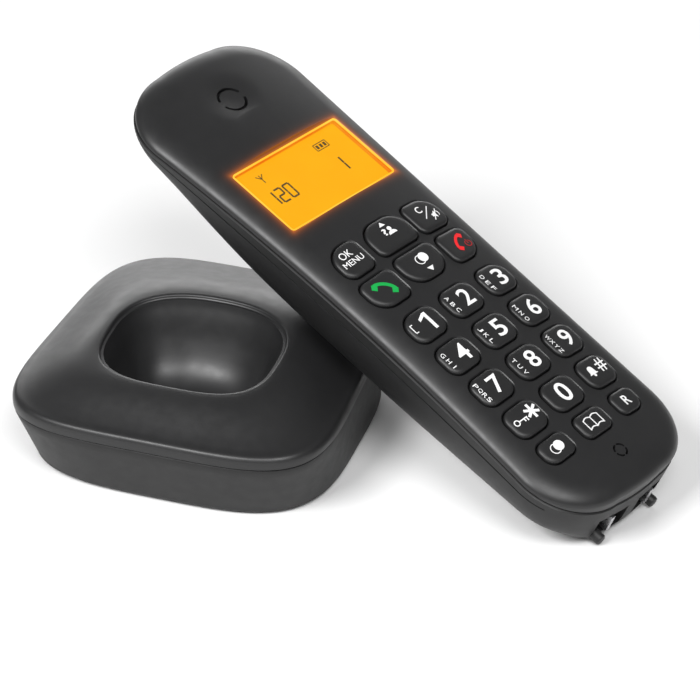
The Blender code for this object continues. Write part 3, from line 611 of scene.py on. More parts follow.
def superellipse(half_width, front, rear, power_front, power_rear, centre_y=0.0):
    ring = []
    for step in range(BASE_STEPS):
        angle = math.pi / 2.0 - step * math.tau / BASE_STEPS
        cosine = round(math.cos(angle), 9)
        sine = round(math.sin(angle), 9)
        power = power_rear if sine >= 0.0 else power_front
        depth = rear if sine >= 0.0 else front
        x = half_width * math.copysign(abs(cosine) ** (2.0 / power), cosine)
        y = centre_y + depth * math.copysign(abs(sine) ** (2.0 / power), sine)
        ring.append((x, y))
    return ring


def seam_height(y):
    return SEAM_FRONT_Z + SEAM_RISE * (y + BASE_FRONT_DEPTH)


def rim_height(y):
    return RIM_FRONT_Z + RIM_RISE * (y - WELL_CENTRE_Y + WELL_FRONT_DEPTH)


def base_ring(inset, rise):
    outline = superellipse(BASE_HALF_WIDTH - inset, BASE_FRONT_DEPTH - inset,
                           BASE_REAR_DEPTH - inset, BASE_CORNER_POWER, BASE_CORNER_POWER)
    ring = []
    for x, y in outline:
        taper = 1.0 - BASE_REAR_TAPER * y / BASE_FRONT_DEPTH
        ring.append((x * taper, y, seam_height(y) + rise))
    return ring


def foot_ring(inset, z):
    outline = superellipse(BASE_HALF_WIDTH - FOOT_SIDE_INSET - inset,
                           BASE_FRONT_DEPTH - FOOT_FRONT_INSET - inset,
                           BASE_REAR_DEPTH - FOOT_REAR_INSET - inset,
                           FOOT_FRONT_POWER, FOOT_REAR_POWER)
    return [(x * (1.0 - FOOT_REAR_TAPER * y / BASE_FRONT_DEPTH), y, z) for x, y in outline]


def well_ring(inset, depth, forward=0.0, drop=0.0):
    outline = superellipse(WELL_HALF_WIDTH - inset, WELL_FRONT_DEPTH - inset,
                           WELL_REAR_DEPTH - inset, WELL_FRONT_POWER, WELL_REAR_POWER,
                           WELL_CENTRE_Y - forward)
    return [(x, y, (1.0 - depth) * rim_height(y) + depth * WELL_FLOOR_Z - drop)
            for x, y in outline]


def blend_rings(first, second, share):
    return [tuple(a + (b - a) * share for a, b in zip(p, q)) for p, q in zip(first, second)]


def dome_ring(shoulder, rim, share):
    ring = []
    for x, y, z in blend_rings(shoulder, rim, share):
        rearward = 0.5 + 0.5 * math.sin(math.atan2(y - WELL_CENTRE_Y, abs(x) + 1e-6))
        bulge = DOME_BULGE_FRONT + (DOME_BULGE_REAR - DOME_BULGE_FRONT) * rearward
        ring.append((x, y, z + bulge * 6.75 * share ** 2 * (1.0 - share)))
    return ring


LIP_RADIUS = 0.55
LIP_STEP = 0.55


def base_top_rings():
    """Rings of the top shell's outside, from the seam over the dome into the well."""
    low = GAP / 2.0
    shoulder = base_ring(SHOULDER_INSET, SHOULDER_RISE)
    rim = well_ring(-LIP_RADIUS, 0.0)
    edge = [base_ring(0.12, low), base_ring(0.02, low + 0.12)]
    dome = [base_ring(0.0, low + 0.6), base_ring(0.0, 1.7), base_ring(0.22, 2.65),
            base_ring(0.85, 3.4), shoulder]
    dome += [dome_ring(shoulder, rim, share) for share in (0.15, 0.3, 0.45, 0.6, 0.75, 0.9)]
    dome.append(rim)
    lip = []
    for degrees in (30, 60, 90):
        angle = math.radians(degrees)
        lip.append(well_ring(-LIP_RADIUS * (1.0 - math.sin(angle)), 0.0,
                             drop=LIP_RADIUS * (1.0 - math.cos(angle))))
    lip += [well_ring(0.05, 0.0, drop=LIP_STEP), well_ring(0.25, 0.0, drop=LIP_STEP + 0.2)]
    bowl = [well_ring(0.8, 0.0, drop=LIP_STEP + 0.3), well_ring(1.3, 0.11, 0.05),
            well_ring(2.4, 0.24, 0.25), well_ring(4.2, 0.50, 0.8), well_ring(6.8, 0.78, 1.6),
            well_ring(10.0, 0.94, 2.2), well_ring(13.5, 1.0, 2.6), well_ring(17.0, 1.0, 2.8)]
    return edge + smooth_rings(dome, 4) + lip + smooth_rings(bowl, 4)


def make_base_top():
    outer = base_top_rings()
    inner = [base_ring(BASE_WALL, GAP / 2.0)]
    shoulder = base_ring(SHOULDER_INSET + BASE_WALL, SHOULDER_RISE - BASE_WALL)
    inner += [shoulder, well_ring(-BASE_WALL, 0.0, drop=BASE_WALL),
              well_ring(2.0, 0.5, 0.8, BASE_WALL), well_ring(8.0, 0.94, 2.2, BASE_WALL),
              well_ring(12.0, 1.0, 2.6, BASE_WALL)]
    shell = loft(outer[::-1] + inner)
    holes = bmesh.new()
    for side in (-1, 1):
        add_cylinder(holes, (side * CONTACT_X, CONTACT_Y, WELL_FLOOR_Z - 1.0),
                     CONTACT_HOLE_RADIUS, 8.0)
    shell = boolean(shell, holes)
    item = finish_mesh("base_top_skin", shell, BASE, "base", BASE_LOOK, 30.0)
    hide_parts("base_top_shell")


def base_bottom_rings():
    top = -GAP / 2.0
    foot = foot_ring(0.0, UNDERSIDE_Z + 1.0)
    rings = [foot_ring(1.0, UNDERSIDE_Z), foot_ring(0.55, UNDERSIDE_Z + 0.12),
             foot_ring(0.15, UNDERSIDE_Z + 0.5), foot]
    rings += [blend_rings(foot, base_ring(0.3, top - 0.9), share / 8.0) for share in range(1, 9)]
    return rings + [base_ring(0.32, top - 0.15), base_ring(0.5, top)]


def button_outline(grow):
    return rounded_rectangle((0.0, BUTTON_Z), *BUTTON_SIZE, (BUTTON_CORNER,) * 4, grow, 10)


def add_prism_y(bm, outline, near, far):
    start = [bm.verts.new((x, near, z)) for x, z in outline]
    end = [bm.verts.new((x, far, z)) for x, z in outline]
    bm.faces.new(start)
    bm.faces.new(end)
    bridge(bm, start, end)


def make_base_bottom():
    inner = [base_ring(BASE_WALL, -GAP / 2.0), foot_ring(BASE_WALL, UNDERSIDE_Z + BASE_WALL)]
    shell = loft(base_bottom_rings() + inner)
    holes = bmesh.new()
    for x, y in SCREW_SPOTS:
        add_cylinder(holes, (x, y, UNDERSIDE_Z), COUNTERBORE_RADIUS, 2.4)
        add_cylinder(holes, (x, y, 3.0), SCREW_BORE_RADIUS, 3.0)
    for x, y in FOOT_SPOTS:
        add_cylinder(holes, (x, y, 1.0), FOOT_HOLE_RADIUS, 1.6)
    near, far = REAR_WALL_SPAN
    window = rounded_rectangle((PHONE_SOCKET_X, SOCKET_Z), *PHONE_WINDOW,
                               (PHONE_WINDOW_CORNER,) * 4)
    add_prism_y(holes, window, near, far)
    add_cylinder(holes, (POWER_SOCKET_X, (near + far) / 2.0, SOCKET_Z), POWER_HOLE_RADIUS,
                 far - near, "Y")
    add_prism_y(holes, button_outline(GAP), near, far)
    shell = boolean(shell, holes)
    item = finish_mesh("base_bottom_skin", shell, BASE, "base", SHADED_LOWER_LOOK, 30.0)
    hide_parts("base_bottom_shell")


def make_page_button():
    bm = bmesh.new()
    levels = ((0.0, BUTTON_INNER_Y), (0.0, BUTTON_FACE_Y - 0.5), (0.25, BUTTON_FACE_Y - 0.15),
              (0.6, BUTTON_FACE_Y))
    rings = [[(x, y, z) for x, z in button_outline(-inset)] for inset, y in levels]
    add_levels(bm, rings)
    item = finish_mesh("page_button_cap", bm, BASE, "page_button", DARK_LOOK)
    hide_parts("page_button")


# ---------------------------------------------------------------- handset shapes

def half_width(y):
    return WAIST_HALF_WIDTH + FLARE * ((y - WAIST_Y) / FLARE_REACH) ** 2


def crown(y):
    return FACE_CROWN * (1.0 - (y / HALF_LENGTH) ** 2)


def face_height(x, y):
    return crown(y) - x * x / (2.0 * FACE_RADIUS)


def dish(x, y):
    """How far the face sinks round the earpiece."""
    reach = math.hypot(x, y - EARPIECE_Y) / DISH_RADIUS
    return DISH_DEPTH * (0.5 + 0.5 * math.cos(math.pi * min(reach, 1.0)))


def edge_depth(y):
    """Depth of the back beside its belly, greatest at BACK_Y and less towards both ends."""
    if y > BACK_Y:
        along = min((y - BACK_Y) / (HALF_LENGTH - BACK_Y), 1.0)
        share = 0.5 + 0.5 * math.cos(math.pi * along ** BACK_TOP_POWER)
        return BACK_TOP_DEPTH + (BACK_DEPTH - BACK_TOP_DEPTH) * share
    along = (BACK_Y - y) / (HALF_LENGTH + BACK_Y)
    return BACK_DEPTH - BACK_LOW_RISE * along ** 1.5


def back_height(x, y):
    """Height of the back, with a belly along its middle."""
    reach = BELLY_TOP_REACH if y > BELLY_Y else BELLY_LOW_REACH
    along = max(1.0 - ((y - BELLY_Y) / reach) ** 2, 0.0)
    side = min(max((abs(x) - BELLY_FLAT) / BELLY_SIDE, 0.0), 1.0)
    across = 1.0 - side * side * (3.0 - 2.0 * side)
    return -(edge_depth(y) + BELLY * along * across)


def handset_outline(inset, low_inset=None, side_steps=56, corner_steps=22, end_steps=5):
    """Outline of the handset, shrunk by inset, from its highest Y and clockwise.

    Its lower end is shrunk by low_inset instead where that is given.
    """
    low_inset = inset if low_inset is None else low_inset
    top = HALF_LENGTH + TOP_EXTRA - END_BOW - TOP_CORNER
    bottom = -(HALF_LENGTH - END_BOW - BOTTOM_CORNER)
    top_reach = max(TOP_CORNER - inset, 1.0)
    low_reach = max(BOTTOM_CORNER - inset, 1.0)
    top_x = half_width(top) - inset - top_reach
    low_x = half_width(bottom) - inset - low_reach
    top_y = top + TOP_CORNER - inset - top_reach
    low_y = bottom - BOTTOM_CORNER + low_inset + low_reach
    shares = [step / end_steps for step in range(end_steps)]
    half = [(top_x * share, top_y + top_reach + END_BOW * (1.0 - share * share))
            for share in shares]
    half += arc_points((top_x, top_y), top_reach, 90.0, 0.0, corner_steps)
    for step in range(1, side_steps):
        y = top_y + (low_y - top_y) * step / side_steps
        half.append((half_width(y) - inset, y))
    half += arc_points((low_x, low_y), low_reach, 0.0, -90.0, corner_steps)
    half += [(low_x * share, low_y - low_reach - END_BOW * (1.0 - share * share))
             for share in reversed(shares)]
    return half + [(-x, y) for x, y in half[-2:0:-1]]


def handset_ring(inset, height, low_inset=None):
    return [(x, y, height(x, y)) for x, y in handset_outline(inset, low_inset)]


def screen_outline(grow):
    return rounded_rectangle(SCREEN_CENTRE, 2.0 * SCREEN_HALF_WIDTH, SCREEN_TOP - SCREEN_BOTTOM,
                             (SCREEN_CORNER,) * 4, grow)


FACE_RINGS = 15
FACE_RING_STEP = 1.1


def front_rings():
    """Rings of the front case's outside, from its seam to the middle of the face."""
    rings = [handset_ring(0.25, lambda x, y: crown(y) - SEAM_DEPTH)]
    for step in range(13):
        angle = math.radians(90.0 * step / 12.0)
        inset = ROUND_INSET * (1.0 - math.cos(angle))
        drop = ROUND_DROP * (1.0 - math.sin(angle))
        rings.append(handset_ring(inset, lambda x, y: face_height(x, y) - dish(x, y) - drop))
    for step in range(FACE_RINGS):
        rings.append(handset_ring(ROUND_INSET + 1.2 + FACE_RING_STEP * step,
                                  lambda x, y: face_height(x, y) - dish(x, y)))
    return rings


def front_inner_rings():
    rings = [handset_ring(CASE_WALL, lambda x, y: crown(y) - SEAM_DEPTH)]
    for degrees in (35, 60, 90):
        angle = math.radians(degrees)
        inset = CASE_WALL + (ROUND_INSET - CASE_WALL * 0.5) * (1.0 - math.cos(angle))
        drop = (ROUND_DROP - CASE_WALL * 0.5) * (1.0 - math.sin(angle)) + CASE_WALL
        rings.append(handset_ring(inset, lambda x, y: face_height(x, y) - drop))
    for inset in (12.0, 18.0, 22.0):
        rings.append(handset_ring(inset, lambda x, y: face_height(x, y) - CASE_WALL))
    return rings


# Name, centre, width, height and the radii at top left, top right, bottom right, bottom left.
UPPER_KEYS = (
    ("key_ok_menu", (-14.6, 8.6), 9.4, 9.8, (WIDE, SMALL, SMALL, 3.0)),
    ("key_up", (0.0, 9.0), 14.2, 9.8, (WIDE, WIDE, SMALL, SMALL)),
    ("key_clear_mute", (13.9, 8.6), 10.8, 9.8, (SMALL, WIDE, 3.0, SMALL)),
    ("key_call", (-14.4, -3.1), 11.0, 9.4, (SMALL, SMALL, SMALL, WIDE)),
    ("key_down", (0.0, -2.5), 13.6, 9.4, (SMALL, SMALL, WIDE, WIDE)),
    ("key_end", (14.0, -3.1), 10.2, 9.4, (SMALL, SMALL, WIDE, SMALL)),
)
LOWER_KEYS = (
    ("key_redial", (-14.0, -61.7), 9.4, 6.7, (SMALL, SMALL, SMALL, 3.1)),
    ("key_phonebook", (0.0, -61.7), 10.0, 6.9, (SMALL, SMALL, SMALL, SMALL)),
    ("key_recall", (13.6, -61.7), 8.4, 6.7, (SMALL, SMALL, 3.1, SMALL)),
)
DIGIT_NAMES = ("1", "2", "3", "4", "5", "6", "7", "8", "9", "star", "0", "hash")


def digit_keys():
    keys = []
    for index, label in enumerate(DIGIT_NAMES):
        row, column = divmod(index, 3)
        centre = ((column - 1) * KEY_PITCH_X, DIGIT_TOP_Y - row * KEY_PITCH_Y)
        width = 10.8 if column == 1 else 10.3
        top_left = 4.2 if label == "1" else DIGIT_ROUND
        top_right = 4.2 if label == "3" else DIGIT_ROUND
        keys.append(("key_" + label, centre, width, 8.8,
                     (top_left, top_right, DIGIT_ROUND, DIGIT_ROUND)))
    return keys


KEYS = list(UPPER_KEYS) + digit_keys() + list(LOWER_KEYS)
KEY_CENTRES = {key[0]: key[1] for key in KEYS}


def add_face_hole(bm, outline_at, edge=0.3):
    """Cuts an opening through the face with a small chamfer; outline_at(grow) gives its outline."""
    levels = ((0.0, None), (0.0, -edge), (edge + 0.4, 0.4), (edge + 0.4, None))
    rings = []
    for index, (grow, rise) in enumerate(levels):
        far = THROUGH_FACE[0] if index == 0 else THROUGH_FACE[1]
        rings.append([(x, y, far if rise is None else face_height(x, y) - dish(x, y) + rise)
                      for x, y in outline_at(grow)])
    add_levels(bm, rings)


def make_front_case():
    case = loft(front_rings()[::-1] + front_inner_rings())
    openings = bmesh.new()
    for _, centre, width, height, radii in KEYS:
        add_face_hole(openings, lambda grow: rounded_rectangle(centre, width, height, radii,
                                                               GAP + grow))
    add_face_hole(openings, screen_outline, 0.2)
    for start in (20.0, 200.0):
        slot = arc_slot((0.0, EARPIECE_Y), *EARPIECE_SLOT, start, 140.0)
        add_prism(openings, slot, *THROUGH_FACE)
    for start in (15.0, 105.0, 195.0, 285.0):
        slot = arc_slot((0.0, MICROPHONE_Y), *MICROPHONE_SLOT, start, 60.0, 6)
        add_prism(openings, slot, *THROUGH_FACE)
    case = boolean(case, openings)
    item = finish_mesh("front_case_skin", case, HANDSET, "handset", CASE_LOOK, 30.0)
    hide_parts("handset_front_case")


# Inset and share of depth of each ring of the rear case, from its lip to its back.
BACK_STATIONS = ((0.0, 0.0), (0.4, 0.35), (1.6, 0.65), (3.6, 0.85), (6.5, 0.96), (11.0, 1.0),
                 (17.0, 1.0), (23.0, 1.0))
GROOVE_SHARE = 0.16
GROOVE_DEPTH = 0.4


def back_ring(inset, share, wall=0.0):
    """Ring of the rear case; share runs from 0 at its lip to 1 on its back."""
    return handset_ring(inset + wall, lambda x, y: (1.0 - share) * (crown(y) - LIP_DEPTH)
                        + share * (back_height(x, y) + wall), inset * END_UPRIGHT + wall)


def back_rings(wall=0.0):
    """Rings of the rear case from its lip to its back."""
    rings = [handset_ring(0.65 + wall, lambda x, y: crown(y) - SEAM_DEPTH - GAP),
             handset_ring(0.35 + wall, lambda x, y: crown(y) - SEAM_DEPTH - GAP - 0.12)]
    return rings + [back_ring(max(inset, 0.0), share, wall)
                    for inset, share in smooth_stations(BACK_STATIONS, 4)]


def add_groove(bm):
    """Ring-shaped cutter that scores a fine line along both sides below the seam."""
    upper = back_ring(-0.6, GROOVE_SHARE - 0.028)
    lower = back_ring(-0.6, GROOVE_SHARE + 0.028)
    deep_low = back_ring(GROOVE_DEPTH, GROOVE_SHARE + 0.012)
    deep_high = back_ring(GROOVE_DEPTH, GROOVE_SHARE - 0.012)
    count = len(upper)
    span = [i for i in range(count) if -70.0 < upper[i][1] < 72.0]
    for side in (1, -1):
        run = [i for i in span if upper[i][0] * side > 20.0]
        if side < 0:
            run.sort(key=lambda i: upper[i][1])
        bands = [[bm.verts.new(ring[i]) for i in run]
                 for ring in (upper, lower, deep_low, deep_high)]
        for a, b in zip(bands, bands[1:] + bands[:1]):
            for i in range(len(run) - 1):
                bm.faces.new((a[i], a[i + 1], b[i + 1], b[i]))
        for end in (0, -1):
            bm.faces.new([band[end] for band in bands])


def door_outline(grow=0.0):
    return rounded_rectangle((0.0, (DOOR_TOP_Y + DOOR_BOTTOM_Y) / 2.0), 2.0 * DOOR_HALF_WIDTH,
                             DOOR_TOP_Y - DOOR_BOTTOM_Y, DOOR_CORNERS, grow)


def make_rear_case():
    case = loft(back_rings())
    pockets = bmesh.new()
    add_groove(pockets)
    for side in (-1, 1):
        near, far = sorted((side * SLOT_INNER_X, side * SLOT_OUTER_X))
        add_box(pockets, (near, -HALF_LENGTH - 5.0, SLOT_LOW), (far, SLOT_END_Y, SLOT_HIGH))
    add_prism(pockets, door_outline(GAP), FAR_BELOW,
              lambda x, y: back_height(x, y) + DOOR_THICKNESS + GAP)
    case = boolean(case, pockets)
    item = finish_mesh("rear_case_skin", case, HANDSET, "handset", SHADED_REAR_LOOK, 30.0)
    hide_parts("handset_rear_case", "battery_cell_left", "battery_cell_right",
                "battery_contact_upper", "battery_contact_lower", "handset_screw_1",
                "handset_screw_2")


def make_nubs():
    round_end = ((NUB_RADIUS, NUB_LENGTH - 0.4), (NUB_RADIUS - 0.1, NUB_LENGTH - 0.15),
                 (NUB_RADIUS - 0.35, NUB_LENGTH), (0.0, NUB_LENGTH))
    for side, label in ((-1, "left"), (1, "right")):
        bm = bmesh.new()
        matrix = Matrix.Translation((side * NUB_X, NUB_Y, NUB_Z))
        matrix = matrix @ Matrix.Rotation(math.pi / 2.0, 4, "X")
        add_turned(bm, ((0.0, 0.0), (NUB_RADIUS, 0.0)) + round_end, matrix, 32)
        item = finish_mesh("guide_nub_" + label, bm, HANDSET, "handset", DARK_LOOK)


def make_battery_door():
    cut = bmesh.new()
    add_prism(cut, door_outline(), FAR_BELOW, lambda x, y: back_height(x, y) + DOOR_THICKNESS)
    door = boolean(loft(back_rings()), cut, "INTERSECT")
    grip = bmesh.new()
    for row in range(GRIP_ROWS):
        bar = rounded_rectangle((0.0, GRIP_TOP_Y - GRIP_PITCH * row), *GRIP_SIZE, (0.4,) * 4)
        add_prism(grip, bar, FAR_BELOW, lambda x, y: back_height(x, y) + GRIP_DEPTH)
    door = boolean(door, grip)
    item = finish_mesh("battery_door_skin", door, HANDSET, "battery_door", SHADED_REAR_LOOK, 30.0)
    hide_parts("battery_door")


# ---------------------------------------------------------------- keys

KEY_EDGE = 1.05


def key_top(x, y):
    return face_height(x, y) + KEY_PROUD


def make_key(name, centre, width, height, radii):
    levels = [(0.0, -KEY_DEPTH), (0.0, -0.35)]
    for step in range(7):
        angle = math.radians(90.0 * step / 6.0)
        levels.append((KEY_EDGE * (1.0 - math.cos(angle)),
                       KEY_PROUD - KEY_PROUD * (1.0 - math.sin(angle))))
    levels += [(KEY_EDGE + 0.8, KEY_PROUD), (KEY_EDGE + 1.6, KEY_PROUD)]
    rings = []
    for inset, rise in levels:
        outline = rounded_rectangle(centre, width, height, radii, -inset)
        rings.append([(x, y, face_height(x, y) + rise) for x, y in outline])
    bm = bmesh.new()
    add_levels(bm, rings)
    item = finish_mesh(name + "_cap", bm, HANDSET, name, KEY_LOOK)
    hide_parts(name)


# ---------------------------------------------------------------- printed legends

def text_outline(body, bold=0.0):
    """Flat mesh of a piece of text, as points and faces, with its middle at the origin."""
    curve = bpy.data.curves.new("text", "FONT")
    curve.body = body
    curve.size = 1.0
    curve.offset = bold
    curve.resolution_u = 6
    item = add_object("text", curve)
    evaluated = item.evaluated_get(bpy.context.evaluated_depsgraph_get())
    mesh = evaluated.to_mesh()
    points = [v.co.copy() for v in mesh.vertices]
    faces = [tuple(p.vertices) for p in mesh.polygons]
    evaluated.to_mesh_clear()
    bpy.data.objects.remove(item)
    bpy.data.curves.remove(curve)
    low = Vector((min(p.x for p in points), min(p.y for p in points)))
    high = Vector((max(p.x for p in points), max(p.y for p in points)))
    middle = (low + high) / 2.0
    return [(p.x - middle.x, p.y - middle.y) for p in points], faces, high - low


class Print:
    """Flat shapes printed on a surface round an origin, gathered into one piece."""

    def __init__(self, surface, body, slot, origin=(0.0, 0.0), thickness=INK):
        self.bm = bmesh.new()
        self.surface = surface
        self.body = body
        self.slot = slot
        self.origin = origin
        self.thickness = thickness

    def place(self, x, y, lift):
        x, y = x + self.origin[0], y + self.origin[1]
        return self.bm.verts.new((x, y, self.surface(x, y) + lift))

    def faces(self, points, faces):
        """Adds a flat mesh as a thin slab that follows the surface."""
        lower = [self.place(x, y, -0.02) for x, y in points]
        upper = [self.place(x, y, self.thickness) for x, y in points]
        edges = {}
        for face in faces:
            self.bm.faces.new([upper[i] for i in face])
            self.bm.faces.new([lower[i] for i in reversed(face)])
            for a, b in zip(face, face[1:] + face[:1]):
                edges[(a, b)] = edges.get((a, b), 0) + 1
        for a, b in edges:
            if (b, a) not in edges:
                self.bm.faces.new((lower[a], lower[b], upper[b], upper[a]))

    def polygon(self, outline):
        self.faces(outline, [tuple(range(len(outline)))])

    def text(self, body, centre, width, height, turn=0.0, bold=0.0):
        points, faces, size = text_outline(body, bold)
        points = [(x * width / size.x, y * height / size.y) for x, y in points]
        self.faces(moved(turned(points, turn), centre), faces)

    def disc(self, centre, radius, steps=28):
        self.polygon(arc_points(centre, radius, 0.0, 360.0, steps)[:-1])

    def arc(self, centre, radius, width, start, sweep, steps=24):
        inner, outer = (arc_points(centre, radius + side * width / 2.0, start, start + sweep, steps)
                        for side in (-1.0, 1.0))
        for i in range(steps):
            self.polygon([inner[i], outer[i], outer[i + 1], inner[i + 1]])

    def line(self, points, width):
        for (x0, y0), (x1, y1) in zip(points, points[1:]):
            length = math.hypot(x1 - x0, y1 - y0)
            dx, dy = (x1 - x0) / length * width / 2.0, (y1 - y0) / length * width / 2.0
            self.polygon([(x0 - dx - dy, y0 - dy + dx), (x0 - dx + dy, y0 - dy - dx),
                          (x1 + dx + dy, y1 + dy - dx), (x1 + dx - dy, y1 + dy + dx)])

    def finish(self, name, look=WHITE_LOOK):
        item = finish_mesh(name, self.bm, HANDSET, self.body, look)


LETTERS = {"2": "ABC", "3": "DEF", "4": "GHI", "5": "JKL", "6": "MNO", "7": "PQRS", "8": "TUV",
           "9": "WXYZ"}
DIGIT_SHIFT = 1.2
DIGIT_HEIGHT = 5.1
DIGIT_WIDTH = 3.5
ZERO_SIZE = 1.1
LETTER_SHIFT = -3.7
LETTER_HEIGHT = 1.2
LETTER_WIDTH = 1.25
LETTER_WIDTHS = {"I": 0.25, "M": 1.6, "W": 1.6}
LETTER_STEP = 2.05
FOUR_LETTER_STEP = 3.1 / 4.0
REDIAL_SIZE = 1.45


def key_print(key):
    return Print(key_top, key, key, KEY_CENTRES[key])


def print_digit(label):
    mark = key_print("key_" + label)
    if label == "1":
        mark.polygon([(1.2, -2.75), (2.1, -2.75), (2.1, 2.75), (1.2, 2.75)])
        mark.polygon([(-0.8, 0.9), (1.2, 1.75), (1.2, 2.75), (-0.8, 1.75)])
        mark.line([(-3.4, 1.6), (-4.1, 1.6), (-4.1, -0.9), (-3.4, -0.9)], 0.24)
    else:
        shift, size = (0.2, ZERO_SIZE) if label == "0" else (DIGIT_SHIFT, 1.0)
        mark.text(label, (shift, 0.0), DIGIT_WIDTH * size, DIGIT_HEIGHT * size, bold=0.012)
    letters = LETTERS.get(label, "")
    step = LETTER_STEP * (FOUR_LETTER_STEP if len(letters) == 4 else 1.0)
    for index, letter in enumerate(letters):
        y = step * ((len(letters) - 1) / 2.0 - index)
        width = LETTER_WIDTHS.get(letter, LETTER_WIDTH)
        mark.text(letter, (LETTER_SHIFT, y), width, LETTER_HEIGHT, -90.0)
    mark.finish("legend_" + label)


def print_star():
    """A star and a small key."""
    mark = key_print("key_star")
    for turn in (30, 90, 150):
        mark.line(moved([polar(-1.75, turn), polar(1.75, turn)], (2.6, 0.7)), 0.75)
    mark.arc((-3.2, 0.2), 0.75, 0.3, 0.0, 360.0)
    mark.line([(-2.35, 0.2), (0.2, 0.2)], 0.32)
    mark.line([(0.05, 0.2), (0.05, -0.7)], 0.32)
    mark.line([(-0.8, 0.2), (-0.8, -0.5)], 0.32)
    mark.finish("legend_star")


def print_hash():
    """A hash and a bell."""
    mark = key_print("key_hash")
    for offset in (-0.62, 0.62):
        mark.line([(2.35 + offset, -1.0), (2.85 + offset, 2.6)], 0.42)
        mark.line([(1.1, 0.8 + offset), (4.1, 0.8 + offset)], 0.42)
    bell = [(-1.6, -1.0), (1.6, -1.0), (1.1, -0.5), (0.95, 0.6)]
    bell += [(0.95 * x, 0.6 + 0.9 * y) for x, y in arc_points((0.0, 0.0), 1.0, 20.0, 160.0, 7)]
    bell += [(-0.95, 0.6), (-1.1, -0.5)]
    mark.polygon(moved(bell, (-1.6, 0.4)))
    mark.disc((-1.6, -0.95), 0.42, 16)
    mark.finish("legend_hash")


def print_redial(mark, centre, size):
    """A solid disc half over a ring."""
    mark.disc((centre[0] + 0.5 * size, centre[1] + 0.1 * size), size)
    mark.arc((centre[0] - 0.45 * size, centre[1] - 0.1 * size), size * 0.93, size * 0.17,
             70.0, 240.0)


def print_book():
    """An open book: two leaves with bowed edges on either side of the spine."""
    mark = key_print("key_phonebook")
    for side in (-1, 1):
        top = [(side * 2.6 * k / 6.0, 1.25 + 0.45 * math.sin(math.pi * k / 6.0)) for k in range(7)]
        low = [(x, y - 2.9) for x, y in top]
        for run in (top, low, (top[-1], low[-1])):
            mark.line(run, 0.3)
    mark.line([(0.0, 1.25), (0.0, -1.65)], 0.3)
    mark.finish("legend_book")


def handset_glyph(mark, centre, turn, length):
    """A telephone receiver: a bowed grip with a block at each end."""
    def put(points):
        return moved(turned([(x * length, y * length) for x, y in points], turn), centre)
    outer = [(0.5 * x, 0.26 * y - 0.08) for x, y in arc_points((0.0, 0.0), 1.0, 168.0, 12.0, 13)]
    inner = [(x * 0.88, y - 0.14) for x, y in outer]
    for k in range(len(outer) - 1):
        mark.polygon(put([outer[k], outer[k + 1], inner[k + 1], inner[k]]))
    for side in (-1, 1):
        block = [(side * 0.51, 0.0), (side * 0.50, -0.22), (side * 0.28, -0.24), (side * 0.28, 0.0)]
        mark.polygon(put(block if side > 0 else block[::-1]))


def print_ok_menu():
    mark = key_print("key_ok_menu")
    mark.text("OK", (-0.6, 1.8), 3.9, 2.1)
    mark.text("MENU", (-0.2, -0.8), 6.6, 1.7)
    mark.finish("legend_ok_menu")


def print_up_and_down():
    """An arrow, a question mark and a figure; the redial sign and an arrow."""
    mark = key_print("key_up")
    mark.polygon([(-1.1, 2.5), (0.9, 2.5), (-0.1, 3.8)])
    mark.text("?", (-1.1, 0.7), 1.3, 2.1, bold=0.02)
    mark.disc((0.9, 1.1), 0.65, 20)
    shoulders = [(1.4 * x, 1.1 * y) for x, y in arc_points((0.0, 0.0), 1.0, 0.0, 180.0, 12)]
    mark.polygon(moved(shoulders, (0.9, -0.65)))
    mark.finish("legend_up")
    mark = key_print("key_down")
    print_redial(mark, (0.7, 1.0), REDIAL_SIZE)
    mark.polygon([(-0.5, -2.0), (0.6, -3.4), (1.7, -2.0)])
    mark.finish("legend_down")


def print_clear_mute():
    """The clear letter, a stroke and a crossed-out loudspeaker."""
    mark = key_print("key_clear_mute")
    mark.text("C", (-1.0, 1.8), 1.8, 2.1, bold=0.01)
    mark.line([(-1.1, -1.3), (2.2, 1.7)], 0.28)
    horn = [(-1.0, -0.45), (-0.4, -0.45), (0.4, -1.15), (0.4, 1.15), (-0.4, 0.45), (-1.0, 0.45)]
    mark.polygon(moved(horn, (2.3, -1.3)))
    mark.line([(1.1, -2.7), (3.7, 0.1)], 0.3)
    mark.arc((2.5, -1.3), 1.2, 0.22, -40.0, 80.0, 8)
    mark.finish("legend_clear_mute")


def print_call_and_end():
    """The green and the red receiver, and the dull power sign beside the red one."""
    mark = key_print("key_call")
    handset_glyph(mark, (0.2, 0.7), -40.0, 6.8)
    mark.finish("legend_call", GREEN_LOOK)
    mark = key_print("key_end")
    handset_glyph(mark, (0.3, 0.6), 50.0, 5.8)
    mark.finish("legend_end", RED_LOOK)
    mark = key_print("key_end")
    mark.arc((2.6, -1.1), 0.95, 0.26, 120.0, 300.0)
    mark.line([(2.6, -1.0), (2.6, 0.1)], 0.28)
    mark.finish("legend_power", DULL_RED_LOOK)


def print_lower_keys():
    mark = key_print("key_redial")
    print_redial(mark, (0.0, 0.0), REDIAL_SIZE)
    mark.finish("legend_redial")
    print_book()
    mark = key_print("key_recall")
    mark.text("R", (0.0, 0.0), 2.2, 2.8, bold=0.01)
    mark.finish("legend_recall")


def make_legends():
    for label in "1234567890":
        print_digit(label)
    print_star()
    print_hash()
    print_ok_menu()
    print_up_and_down()
    print_clear_mute()
    print_call_and_end()
    print_lower_keys()


# ---------------------------------------------------------------- display

LENS_DROP = 2.0
PANEL_TOP = -2.4
PANEL_BOTTOM = -4.2
PANEL_SKIN = 0.15
PANEL_WIDTH = 42.0
PANEL_MARGIN = 5.0


